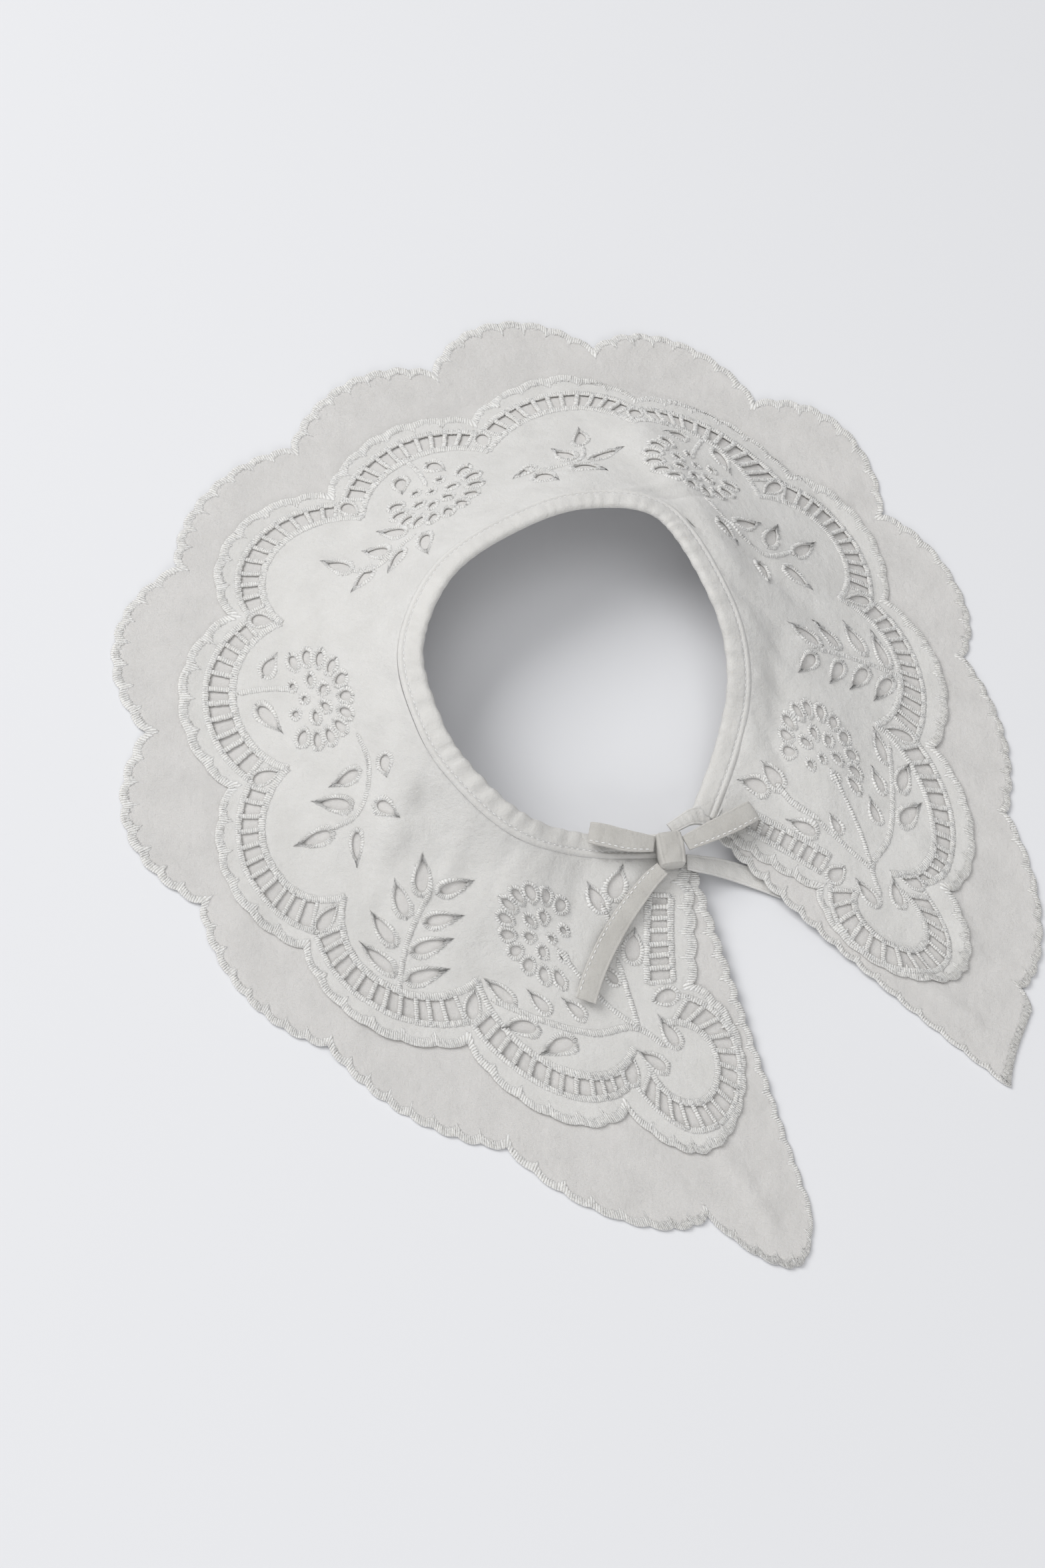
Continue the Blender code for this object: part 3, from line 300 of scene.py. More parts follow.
# Neckband: a share is the way across it, 0 at the neck seam and 1 at its inner edge, and the strength of
# its gathers is given as (u, strength)
BAND_ENDS = (-6.22, 6.24)
BAND_REACH = 0.0088
BAND_HEIGHT = 0.0027
BAND_RISE_BACK = 0.0035
BAND_RISE_FRONT = 0.0005
BAND_STEPS = 760
GATHER_PITCH = 0.0076
GATHER_HEIGHT = 0.00060
GATHER_EDGE = 0.00050
GATHER_SLANT = 0.30
STITCH_LINE = 0.19
BAND_STITCH_LIFT = 0.00012
BAND_TOP_SHARES = (-0.13, -0.10, -0.03, 0.05, 0.10, 0.155, 0.19, 0.225, 0.29, 0.38, 0.48, 0.58, 0.68, 0.78,
                   0.87, 0.94, 0.985, 1.0)
BAND_UNDER_SHARES = (0.97, 0.85, 0.6, 0.35, 0.12)
BAND_CROWN = (0.435, 0.565)
BAND_SEAM_DIP = 0.00045
BAND_EDGE_ROLL = 0.0003
BAND_TILT = 0.0002
BAND_LEAN = 0.0003
BAND_FOOT = 0.0004
BAND_FOOT_EXTRA = 0.0015
GATHER_STRENGTH = ((-6.3, 0.40), (-5.0, 0.60), (-3.2, 0.62), (-1.6, 0.42), (-0.6, 0.20), (0.8, 0.12),
                   (2.0, 0.30), (3.4, 0.40), (5.0, 0.35), (6.3, 0.3))

# Machine stitches: rings of points along each one
STITCH_LENGTH = 0.0017
STITCH_GAP = 0.0008
STITCH_THICK = 0.00016
STITCH_FLATNESS = 1.5
STITCH_SIDES = 6
StitchRing = namedtuple("StitchRing", "along height size")
STITCH_RINGS = table(StitchRing, (0.0, -1.0, 0.5), (0.15, 0.35, 1.0), (0.5, 0.75, 1.15), (0.85, 0.35, 1.0),
                     (1.0, -1.0, 0.5))

# Bow: photograph pixels of each ribbon's middle line, with its height and width; a ribbon's section is
# given in half widths and half walls, and the knot's creases as (place, reach, depth)
RIBBON_WALL = 0.0012
RibbonPoint = namedtuple("RibbonPoint", "px_x px_y height width")
LOOP_LEFT = table(RibbonPoint,
    (981, 1266, 0.0183, 0.0062), (962, 1264, 0.0196, 0.0078), (936, 1260, 0.0206, 0.009),
    (908, 1253, 0.0212, 0.0092), (893, 1250, 0.0211, 0.009), (886, 1249, 0.0197, 0.0088),
    (893, 1251, 0.0182, 0.0086), (920, 1257, 0.0176, 0.0084), (950, 1264, 0.0166, 0.0074),
    (980, 1268, 0.015, 0.0056))
LOOP_RIGHT = table(RibbonPoint,
    (1029, 1265, 0.0182, 0.0062), (1046, 1257, 0.0184, 0.0072), (1070, 1246, 0.0182, 0.0082),
    (1098, 1233, 0.0176, 0.0088), (1122, 1220, 0.0168, 0.0088), (1130, 1216, 0.0152, 0.0086),
    (1122, 1221, 0.0136, 0.0084), (1096, 1235, 0.0138, 0.008), (1062, 1251, 0.0144, 0.007),
    (1031, 1266, 0.0148, 0.0054))
TAIL_LEFT = table(RibbonPoint,
    (994, 1303, 0.015, 0.006), (978, 1318, 0.0143, 0.0068), (958, 1343, 0.0135, 0.0074),
    (936, 1374, 0.0129, 0.0078), (917, 1406, 0.0122, 0.008), (902, 1436, 0.0116, 0.008),
    (889, 1468, 0.0108, 0.008), (879, 1501, 0.0099, 0.008))
TAIL_RIGHT = table(RibbonPoint,
    (1031, 1293, 0.0136, 0.0062), (1048, 1296, 0.0112, 0.007), (1072, 1300, 0.0072, 0.0076),
    (1102, 1308, 0.0038, 0.008), (1135, 1319, 0.0022, 0.008), (1175, 1334, 0.0016, 0.008))
TIE_RIGHT = table(RibbonPoint,
    (1064, 1226, 0.0102, 0.0084), (1052, 1224, 0.0116, 0.008), (1040, 1225, 0.013, 0.007),
    (1030, 1229, 0.014, 0.0058), (1018, 1236, 0.015, 0.0052), (1006, 1243, 0.0158, 0.0048))
Ribbon = namedtuple("Ribbon", "piece node places looped stitched_sides length")
RIBBONS = table(Ribbon,
    ("loop_left_cloth", "bow_loop_left", LOOP_LEFT, True, (1,), 0.052),
    ("loop_right_cloth", "bow_loop_right", LOOP_RIGHT, True, (-1,), 0.064),
    ("tail_left_cloth", "tail_left", TAIL_LEFT, False, (-1,), 0.063),
    ("tail_right_cloth", "tail_right", TAIL_RIGHT, False, (), 0.047),
    ("tie_right_cloth", "tie_right", TIE_RIGHT, False, (), 0.018))
RIBBON_TOP = ((-0.985, 0.65), (-0.93, 0.95), (-0.80, 0.86), (-0.74, 0.70), (-0.68, 0.86), (-0.4, 1.0))
RIBBON_BOTTOM = ((0.985, -0.65), (0.9, -0.95), (0.4, -0.8), (0.0, -0.75), (-0.4, -0.8), (-0.9, -0.95),
                 (-0.985, -0.65))
RIBBON_SECTION = ((-1.0, 0.0), *RIBBON_TOP, (0.0, 1.06), *((-side, top) for side, top in RIBBON_TOP[::-1]),
                  (1.0, 0.0), *RIBBON_BOTTOM)
RIBBON_STITCHES = (0.74, 0.86)
RIBBON_WAVES = ((0.00012, (0, 17)), (0.00008, (1, 41)))
KNOT_HEIGHT = 0.0166
KNOT_AXIS_PX = ((1001, 1251), (1011, 1300))
KnotRow = namedtuple("KnotRow", "along half_width half_height")
KNOT_SQUARE = 0.40
KNOT_CREASES = ((0.66, 0.10, 0.00035), (-0.72, 0.09, 0.0003))
KNOT_PULL = 0.00018
KNOT_ROWS = table(KnotRow,
    (0.0, 0.004, 0.0026), (0.05, 0.005, 0.0036), (0.35, 0.0053, 0.0041), (0.65, 0.0052, 0.0041),
    (0.95, 0.0047, 0.0036), (1.0, 0.0038, 0.0026))

# Colours, the floor's size, the lights as (name, place, size, energy, colour) and the sky
UPPER_COTTON = (0.705, 0.696, 0.678)
UPPER_COTTON_SHADE = (0.655, 0.646, 0.628)
# The lower tier's two tones are the upper tier's made about 5% darker: partly painted shade, since the
# upper tier lies raised towards the light, and partly the look of one layer of cloth against two.
LOWER_COTTON = (0.670, 0.656, 0.642)
LOWER_COTTON_SHADE = (0.625, 0.613, 0.600)
TIE_COTTON = (0.555, 0.543, 0.518)
TIE_COTTON_SHADE = (0.510, 0.497, 0.472)
THREAD = (0.905, 0.898, 0.880)
# The satin's dark tone is painted shade, laid in the valleys between the stitches and broken into flecks.
THREAD_GAP_PAINTED_SHADE = (0.680, 0.670, 0.645)
SCATTER = (1.0, 0.97, 0.92)
FLOOR = (0.775, 0.782, 0.806)
FLOOR_HALF = 1.6
FLOOR_DROP = -0.0004
LIGHTS = (("window", (-2.15, 0.60, 2.45), 1.8, 66.0, (1.0, 0.995, 0.985)),
          ("ceiling", (0.0, -0.05, 2.4), 1.4, 9.0, (1.0, 1.0, 1.0)),
          ("front", (0.5, -2.1, 1.25), 1.2, 13.0, (1.0, 1.0, 1.0)))
SKY = (0.985, 0.99, 1.0, 1)
SKY_STRENGTH = 0.375


def from_photo(px_x, px_y, height):
    """Plan place of a photograph pixel that shows a point at this height."""
    x = (px_x - IMAGE_MIDDLE_PX[0]) / FOCAL_PX
    y = -(px_y - IMAGE_MIDDLE_PX[1]) / FOCAL_PX
    roll_x = math.cos(CAMERA_ROLL) * x - math.sin(CAMERA_ROLL) * y
    roll_y = math.sin(CAMERA_ROLL) * x + math.cos(CAMERA_ROLL) * y
    tilt_cos, tilt_sin = math.cos(CAMERA_TILT), math.sin(CAMERA_TILT)
    reach = (LENS_DISTANCE * tilt_cos - height) / (tilt_cos - tilt_sin * roll_y)
    return turned(reach * roll_x, reach * (tilt_cos * roll_y + tilt_sin) - LENS_DISTANCE * tilt_sin)


def turned(east, north):
    """From the camera's level axes to the part's."""
    turn = PART_TURN - CAMERA_ROLL
    return (math.cos(turn) * east - math.sin(turn) * north, math.sin(turn) * east + math.cos(turn) * north)


def place_from_photo(px_x, px_y, height):
    """Place in space of a photograph pixel that shows a point at this height."""
    return np.array([*from_photo(px_x, px_y, height), height]) + ORIGIN_SHIFT


def unit(rows):
    """The same directions with length one."""
    return rows / np.linalg.norm(rows, axis=1)[:, None]


def lengths_along(line):
    """How far along a line each of its points lies."""
    return np.concatenate([[0], np.cumsum(np.linalg.norm(np.diff(line, axis=0), axis=1))])


def spike_depth(u):
    """Distance from the neck seam to the line of the ladder's inner spikes."""
    return BACK_LADDER_DEPTH + FRONT_LADDER_EXTRA * (np.abs(u) / FRONT_U) ** FRONT_POWER


def hem_depth(u):
    """Distance from the neck seam to the line of the lower tier's hem notches."""
    return spike_depth(u) + LADDER_TO_HEM + FRONT_HEM_EXTRA * (np.abs(u) / FRONT_U) ** FRONT_POWER


def rise(u, t, power):
    """Share of the seam's height that is left at t."""
    rest = spike_depth(u) + RISE_BEYOND_LADDER
    return np.clip(1.0 - t / rest, 0.0, None) ** power


def spline(knots, values, u):
    """Smooth curve through values at the knots."""
    tangent = np.gradient(values, knots, axis=0)
    i = np.clip(np.searchsorted(knots, u) - 1, 0, len(knots) - 2)
    step = knots[i + 1] - knots[i]
    s = (u - knots[i]) / step
    if values.ndim > 1:
        s, step = s[:, None], step[:, None]
    first = (2 * s ** 3 - 3 * s ** 2 + 1) * values[i] + (s ** 3 - 2 * s ** 2 + s) * step * tangent[i]
    second = (3 * s ** 2 - 2 * s ** 3) * values[i + 1] + (s ** 3 - s ** 2) * step * tangent[i + 1]
    return first + second


KNOTS = np.array([row.u for row in STATIONS])
SEAM_HEIGHT = np.array([row.seam_height for row in STATIONS])
SEAM = np.array([from_photo(row.seam_px_x, row.seam_px_y, row.seam_height) for row in STATIONS])
FALL_POWER = np.array([row.fall_power for row in STATIONS])
SPIKE_HEIGHT = SEAM_HEIGHT * rise(KNOTS, spike_depth(KNOTS), FALL_POWER)
SPIKE_LINE = np.array([from_photo(row.spike_px_x, row.spike_px_y, height)
                       for row, height in zip(STATIONS, SPIKE_HEIGHT)])
HEM_LINE = np.array([from_photo(row.hem_px_x, row.hem_px_y, 0.0) for row in STATIONS])


def flat(u, t):
    """Place on the flat pattern."""
    radius, turn = SEAM_RADIUS + t, TURN_PER_U * u
    return np.stack([radius * np.sin(turn), radius * np.cos(turn)], -1)


def unflat(points):
    """The (u, t) of places on the flat pattern."""
    radius = np.hypot(points[:, 0], points[:, 1])
    return np.arctan2(points[:, 0], points[:, 1]) / TURN_PER_U, radius - SEAM_RADIUS


def ridge_heights(points, rows):
    """Height that ridges and troughs add at places on the flat pattern."""
    total = np.zeros(len(points))
    for row in rows:
        start, end = flat(row.u0, row.t0), flat(row.u1, row.t1)
        along = end - start
        offset = points - start
        share = np.clip(offset @ along / (along @ along), 0, 1)
        distance = np.linalg.norm(offset - share[:, None] * along, axis=1)
        total += row.height * np.exp(-(distance / row.half_width) ** 2)
    return total


def ripple_heights(points):
    """The cloth's faint unevenness."""
    total = np.zeros(len(points))
    for k, (waves, phase, height) in enumerate(RIPPLES):
        x, y = points[:, 0] * waves * 2 * math.pi, points[:, 1] * waves * 2 * math.pi
        total += height * np.sin(x * 0.31 + phase + 1.3 * np.sin(y * 0.23 + k)) * np.cos(y * 0.29 - phase)
    return total


def surface(points):
    """Where places of the flat pattern lie on the collar's form."""
    u, t = unflat(points)
    seam, spikes, hem = (spline(KNOTS, line, u) for line in (SEAM, SPIKE_LINE, HEM_LINE))
    to_spikes, to_hem, out = spike_depth(u)[:, None], hem_depth(u)[:, None], t[:, None]
    first = (spikes - seam) / to_spikes
    second = ((hem - spikes) / (to_hem - to_spikes) - first) / to_hem
    plan = seam + out * (first + (out - to_spikes) * second)
    fade = np.clip(t / FOLD_FADE, 0, 1)
    fade = fade * fade * (3 - 2 * fade)
    fine_fade = np.clip(t / (FOLD_FADE / 4), 0, 1)
    main = spline(KNOTS, SEAM_HEIGHT, u) * rise(u, t, spline(KNOTS, FALL_POWER, u))
    main = np.maximum(main + ridge_heights(points, FOLDS) * fade, 0.0)
    fine = (ridge_heights(points, CREASES) + ripple_heights(points)) * fine_fade
    return np.column_stack([plan, np.maximum(main + fine, 0.0)]) + ORIGIN_SHIFT


def surface_normal(points):
    """Upward unit normal of the form."""
    radius = np.hypot(points[:, 0], points[:, 1])[:, None]
    outward = points / radius
    around = np.column_stack([outward[:, 1], -outward[:, 0]])
    along, away = (surface(points + way * NORMAL_STEP) - surface(points - way * NORMAL_STEP)
                   for way in (around, outward))
    normal = unit(np.cross(along, away))
    return normal * np.sign(normal[:, 2])[:, None]


def upper_lift(points):
    """How far the upper tier's underside is above the form: its hem lifts a little here and there."""
    u, t = unflat(points)
    near_hem = np.clip((t - UPPER_WAVE[0]) / UPPER_WAVE[1], 0, 1)
    return UPPER_LIFT + HEM_WAVE * near_hem * (0.55 + 0.45 * np.sin(2.3 * u + 0.7) * np.sin(5.1 * u))


def lower_lift(points):
    """How far the lower tier's underside is above the form: its hem lifts a little here and there."""
    u, t = unflat(points)
    near_hem = np.clip((t - LOWER_WAVE[0]) / LOWER_WAVE[1], 0, 1)
    wave = 0.5 + 0.5 * np.sin(1.9 * u + 0.4) * np.sin(4.3 * u + 1.0)
    return LOWER_LIFT + LOWER_LIFT_INSIDE * (1 - near_hem) + HEM_WAVE * near_hem * wave


def lay(points, lift, tier_lift):
    """Lay places of the flat pattern on the form, each lifted along the form's normal."""
    return surface(points) + surface_normal(points) * (tier_lift(points) + lift)[:, None]


def arc(start, end, sag, steps):
    """Points of a round arc that bulges to the left of the way from start to end, both included."""
    start, end = np.asarray(start, float), np.asarray(end, float)
    chord = end - start
    length = math.hypot(*chord)
    left = np.array([-chord[1], chord[0]]) / length
    quarter = math.atan2(2 * sag, length)
    radius = length / (2 * math.sin(2 * quarter))
    middle = (start + end) / 2 + left * (sag - radius)
    spoke = start - middle
    angle = -4 * quarter * np.linspace(0, 1, steps + 1)
    turned_x = spoke[0] * np.cos(angle) - spoke[1] * np.sin(angle)
    turned_y = spoke[0] * np.sin(angle) + spoke[1] * np.cos(angle)
    return middle + np.stack([turned_x, turned_y], -1)


def along_arc(start, end, sag, share):
    """The point at this share of the arc's length."""
    return arc(start, end, sag, 400)[int(round(400 * share))]


def scalloped(start, end, sag, small):
    """A large scallop's edge drawn in small scallops, without its end point."""
    corners = arc(start, end, sag, small)
    pairs = zip(corners[:-1], corners[1:])
    return np.vstack([arc(a, b, SMALL_SCALLOP_SAG, SMALL_STEPS)[:-1] for a, b in pairs])


def mirror(points):
    """The same points on the other side of the centre back, kept in order from -u to +u."""
    return (np.asarray(points) * (-1, 1))[::-1]


def resampled(curve, step, closed=False):
    """The same curve with evenly spaced points, an even number of steps apart."""
    if closed:
        curve = np.vstack([curve, curve[:1]])
    lengths = lengths_along(curve)
    count = max(8, 2 * int(round(lengths[-1] / step / 2)))
    places = np.linspace(0, lengths[-1], count + 1)
    even = np.column_stack([np.interp(places, lengths, curve[:, k]) for k in (0, 1)])
    return even[:-1] if closed else even


def smoothed(curve, reach, closed=False):
    """The curve averaged over a stretch of this many points each way."""
    weights = np.hanning(2 * reach + 3)[1:-1]
    weights /= weights.sum()
    if closed:
        padded = np.vstack([curve[-reach:], curve, curve[:reach]])
    else:
        before = 2 * curve[0] - curve[reach:0:-1]
        after = 2 * curve[-1] - curve[-2:-reach - 2:-1]
        padded = np.vstack([before, curve, after])
    return np.column_stack([np.convolve(padded[:, k], weights, "valid") for k in (0, 1)])


def left_of(curve, closed=False):
    """Unit vectors to the left of the way along the curve."""
    if closed:
        way = np.roll(curve, -1, axis=0) - np.roll(curve, 1, axis=0)
    else:
        way = np.gradient(curve, axis=0)
    left = np.column_stack([-way[:, 1], way[:, 0]])
    return left / np.maximum(np.linalg.norm(left, axis=1), 1e-9)[:, None]


def through(places, step):
    """A smooth curve through a few places of the flat pattern."""
    corners = np.array([flat(*place) for place in places])
    knots = lengths_along(corners)
    return resampled(spline(knots, corners, np.linspace(0, knots[-1], 80)), step)


def bar_share(k, count):
    """Where bar k of this many slots stands, a little uneven as in hand work."""
    return (k + (BAR_WANDER * math.sin(2.1 * k * k) if 0 < k < count else 0.0)) / count


def rounded(corners):
    """A slot's outline with its corners rounded."""
    return smoothed(resampled(corners, SLOT_ROUNDING, closed=True), 2, closed=True)


def across_ladder(inner, outer, spans, share, insets):
    """Two points of the line across a ladder at this share of its arcs, each given as (start, end, sag)."""
    near, far = (along_arc(*edge, low + (high - low) * share)
                 for edge, (low, high) in zip((inner, outer), spans))
    return [near + (far - near) * inset for inset in insets]


def slot_quads(inner, outer, spans, count):
    """Slots between an inner and an outer arc."""
    quads = []
    for k in range(count):
        left, right = bar_share(k, count), bar_share(k + 1, count)
        first, second = (across_ladder(inner, outer, spans, (left + right) / 2
                                       + edge * SLOT_SHARE / 2 * (right - left), SLOT_INSET)
                         for edge in (-1, 1))
        quads.append(rounded(np.array([*first, *second[::-1]])))
    return quads


def bar_lines(inner, outer, spans, count):
    """Middle lines of the bars between the slots."""
    return [across_ladder(inner, outer, spans, bar_share(k, count), BAR_INSET) for k in range(count + 1)]


def notch_depth(u):
    """How deep the upper hem's notch is at the spike u, beyond the line of the spikes."""
    if u == -FIRST_SPIKE:
        return SCALLOPS[-1].notch_after
    return next(row.notch_after for row in SCALLOPS if row.k == u - 0.5)


def ladder_notch(u):
    """Outer notch of the ladder band at the spike u; the last one on each side is shared with the lobe."""
    if abs(u) == FIRST_SPIKE:
        return flat(math.copysign(LOBE_SHARED_NOTCH[0], u), LOBE_SHARED_NOTCH[1])
    return flat(u, spike_depth(u) + notch_depth(u) - LADDER_TO_NOTCH)


def ladder_arcs(row):
    """Inner and outer arc of one scallop's ladder, each as (start, end, sag)."""
    u0, u1 = row.k - 0.5, row.k + 0.5
    notch_line = (notch_depth(u0) + notch_depth(u1)) / 2 - LADDER_TO_NOTCH
    inner = (flat(u0, spike_depth(u0)), flat(u1, spike_depth(u1)), row.inner_bulge + INNER_CHORD_SAG)
    outer_sag = row.inner_bulge + LADDER_WIDTH - notch_line + OUTER_CHORD_SAG
    return inner, (ladder_notch(u0), ladder_notch(u1), outer_sag)


def lobe_place(span, share, reach=0.0):
    """A place round the right lobe's centre, at this share of the way from the first slot to the last."""
    radius, first_deg, last_deg = span
    centre = flat(*LOBE_CENTRE)
    outward = centre / math.hypot(*centre)
    sideways = np.array([outward[1], -outward[0]])
    turn = math.radians(first_deg + (last_deg - first_deg) * share)
    return centre + (radius + reach) * (sideways * math.cos(turn) + outward * math.sin(turn))


def lobe_slots():
    """Slots round the lobe at the right front tip."""
    slots = []
    for k in range(LOBE_SLOTS):
        low, high = ((k + 0.5 + edge * SLOT_SHARE / 2) / LOBE_SLOTS for edge in (-1, 1))
        corners = ((LOBE_INNER, low), (LOBE_OUTER, low), (LOBE_OUTER, high), (LOBE_INNER, high))
        slots.append(rounded(np.array([lobe_place(*corner) for corner in corners])))
    return slots


def wedge(spike, notch, grow=0.0):
    """The leaf-shaped slot where two scallops of the ladder meet, or its rim's outer edge."""
    way = (notch - spike) / math.hypot(*(notch - spike))
    side = np.array([-way[1], way[0]])
    start, end = (spike + (notch - spike) * share for share in WEDGE_SPAN)
    start, end = start - way * grow, end + way * grow
    angle = np.linspace(0, 2 * math.pi, 29)[:-1]
    share = (1 - np.cos(angle)) / 2
    fullness = share ** 0.85 * np.sqrt(1 - share) * WEDGE_FULLNESS * (WEDGE_HALF + grow)
    across = np.sign(np.sin(angle)) * fullness
    return start + np.outer(share, end - start) + np.outer(across, side)


def front_arcs():
    """The ladder up the right front edge, as a pair of nearly straight arcs."""
    inner = (flat(*FRONT_INNER[1]), flat(*FRONT_INNER[0]), FRONT_CHORD_SAG)
    outer = (flat(*FRONT_OUTER[1]), flat(*FRONT_OUTER[0]), FRONT_CHORD_SAG)
    return inner, outer


def wedges():
    """Spike and notch of every wedge slot."""
    pairs = [(flat(row.k - 0.5, spike_depth(row.k - 0.5)), ladder_notch(row.k - 0.5))
             for row in SCALLOPS if row.k - 0.5 > -FIRST_SPIKE]
    front = [(flat(FIRST_SPIKE, spike_depth(FIRST_SPIKE)), ladder_notch(FIRST_SPIKE)),
             (flat(*LOBE_SPIKE), flat(*LOBE_FRONT_NOTCH))]
    return pairs + front + [tuple(np.asarray(p) * (-1, 1) for p in pair) for pair in front]


def ladder_slots():
    """All slots of the ladder band."""
    slots = []
    for row in SCALLOPS:
        slots += slot_quads(*ladder_arcs(row), SCALLOP_SPANS, LADDER_SLOTS)
    front = lobe_slots() + slot_quads(*front_arcs(), FRONT_SPANS, FRONT_SLOTS)
    return slots + front + [mirror(slot) for slot in front] + [wedge(*pair) for pair in wedges()]


def flower_eyelets():
    """Inner and outer edge of the rim of every flower eyelet."""
    rims = []
    for flower in FLOWERS:
        centre = flat(flower.u, flower.t)
        outward = math.pi / 2 - TURN_PER_U * flower.u
        for eyelet in FLOWER_EYELETS:
            heading = outward - math.radians(flower.facing_deg) + math.radians(eyelet.turn_deg)
            along = np.array([math.cos(heading), math.sin(heading)])
            across = np.array([-along[1], along[0]])
            middle = centre + along * eyelet.radius
            around = math.pi * (eyelet.half_along + eyelet.half_across + eyelet.rim)
            count = 2 * int(round(around / STITCH_STEP / 2))
            angle = np.linspace(0, 2 * math.pi, count + 1)[:-1]
            taper = 1 + EYELET_TAPER * np.cos(angle)
            edges = []
            for grow in (0.0, eyelet.rim):
                edges.append(middle + np.outer(np.cos(angle) * (eyelet.half_along + grow), along)
                             + np.outer(np.sin(angle) * (eyelet.half_across + grow) * taper, across))
            rims.append(tuple(edges))
    return rims


def teardrop(start, end, half, point):
    """A drop, round at the start and pointed at the end, with the given half width."""
    way = end - start
    length = math.hypot(*way)
    side = np.array([-way[1], way[0]]) / length
    count = 2 * int(round(1.08 * length / STITCH_STEP))
    angle = np.linspace(0, 2 * math.pi, count + 1)[:-1]
    share = (1 - np.cos(angle)) / 2
    widest = 0.5 / (0.5 + point)
    width = np.sqrt(share) * (1 - share) ** point / (math.sqrt(widest) * (1 - widest) ** point)
    return start + np.outer(share, way) + np.outer(np.sign(np.sin(angle)) * width * half, side)


def matched(loop, count):
    """A closed loop with this many points, spread over its old ones."""
    steps = np.arange(count) * len(loop) / count
    wrapped = np.vstack([loop, loop[:1]])
    return np.column_stack([np.interp(steps, np.arange(len(wrapped)), wrapped[:, k]) for k in (0, 1)])


def leaf_eyelets():
    """Inner and outer edge of the rim of every leaf and drop eyelet."""
    rims = []
    for leaf in LEAVES:
        for side in (-1, 1):
            if leaf.side not in (0, side):
                continue
            root, tip = flat(side * leaf.u0, leaf.t0), flat(side * leaf.u1, leaf.t1)
            way = tip - root
            length = math.hypot(*way)
            half = min(LEAF_HALF, DROP_HALF_SHARE * length)
            hole = teardrop(*(root + way * share for share in LEAF_HOLE), half, LEAF_POINTS[0])
            outer = teardrop(*(root + way * share for share in LEAF_EDGE), half + LEAF_RIM, LEAF_POINTS[1])
            rims.append((matched(hole, len(outer)), outer))
    return rims


def upper_hem():
    """The stitched edge of the upper tier, from the left end of the neck seam to the right end."""
    notches = [flat(row.k + 0.5, spike_depth(row.k + 0.5) + row.notch_after) for row in SCALLOPS[:-1]]
    lobe_start = flat(LOBE_HEM_START_U, LOBE_HEM_START_T)
    hem_points = [mirror([lobe_start])[0]] + notches + [lobe_start]
    hem = []
    for row, start, end in zip(SCALLOPS, hem_points[:-1], hem_points[1:]):
        notch_line = (notch_depth(row.k - 0.5) + notch_depth(row.k + 0.5)) / 2
        hem.append(scalloped(start, end, row.hem_bulge - notch_line + HEM_CHORD_SAG, UPPER_SMALL))
    front = np.vstack([scalloped(lobe_start, flat(*LOBE_HEM_END), LOBE_HEM_SAG, LOBE_SMALL),
                       scalloped(flat(*LOBE_HEM_END), flat(*FRONT_HEM_END), FRONT_HEM_SAG, FRONT_SMALL),
                       [flat(*FRONT_HEM_END)]])
    return np.vstack([mirror(front)[:-1], np.vstack(hem), front])


def lower_hem():
    """The stitched edge of the lower tier: up the left front, round the hem and down the right front."""
    notches = [flat(u, hem_depth(u)) for u in [(k + 0.5) * LOWER_STEP for k in range(-7, 7)]]
    hem = [scalloped(a, b, LOWER_CHORD_SAG + bulge, LOWER_SMALL)
           for a, b, bulge in zip(notches[:-1], notches[1:], LOWER_BULGES)]
    corners = [flat(side * FRONT_U, CORNER_T) for side in (-1, 1)]
    starts = [flat(side * FRONT_U, LOWER_FRONT_START) for side in (-1, 1)]
    left = [scalloped(starts[0], corners[0], FOLDED_SAG, LOWER_FRONT_SMALL),
            scalloped(corners[0], flat(*LEFT_TIP), TIP_SAG, 3),
            scalloped(flat(*LEFT_TIP), notches[0], TIP_SAG, 4)]
    right = [scalloped(notches[-1], flat(*RIGHT_TIP), FOLDED_SAG, 1),
             arc(flat(*RIGHT_TIP), corners[1], FOLDED_SAG, SMALL_STEPS)[:-1],
             scalloped(corners[1], starts[1], FOLDED_SAG, LOWER_FRONT_SMALL), [starts[1]]]
    return np.vstack([*left, *hem, *right])


def neck_edge(end_u):
    """The edge beside the neck seam, from its right end back to its left one, without its ends."""
    count = int(2 * end_u * TURN_PER_U * SEAM_RADIUS / NECK_EDGE_STEP)
    return flat(np.linspace(end_u, -end_u, count + 1)[1:-1], FRONT_HEM_END[1])


def inside(points, loops):
    """Whether each point is inside the first loop and outside the others, by the even-odd rule."""
    starts = np.vstack(loops)
    ends = np.vstack([np.roll(loop, -1, axis=0) for loop in loops])
    fall = ends[:, 1] - starts[:, 1]
    slope = (ends[:, 0] - starts[:, 0]) / np.where(fall == 0, 1e-12, fall)
    found = []
    for chunk in np.array_split(points, max(1, len(points) // 1500)):
        x, y = chunk[:, :1], chunk[:, 1:]
        spans = (starts[:, 1] > y) != (ends[:, 1] > y)
        found.append(((spans & (x < starts[:, 0] + (y - starts[:, 1]) * slope)).sum(1) % 2) == 1)
    return np.concatenate(found)


def staggered_points(loops, spacing):
    """A staggered grid of points inside the loops, kept clear of every edge."""
    low, high = loops[0].min(0), loops[0].max(0)
    rows = np.arange(low[1], high[1], spacing * math.sqrt(0.75))
    columns = np.arange(low[0], high[0], spacing)
    grid = np.array([(x + spacing / 2 * (k % 2), y) for k, y in enumerate(rows) for x in columns])
    grid = grid[inside(grid, loops)]
    rim = np.vstack([resampled(loop, spacing / 3, closed=True) for loop in loops])
    tree = KDTree(len(rim))
    for k, place in enumerate(rim):
        tree.insert((*place, 0.0), k)
    tree.balance()
    return grid[[tree.find((*place, 0.0))[2] > 0.5 * spacing for place in grid]]


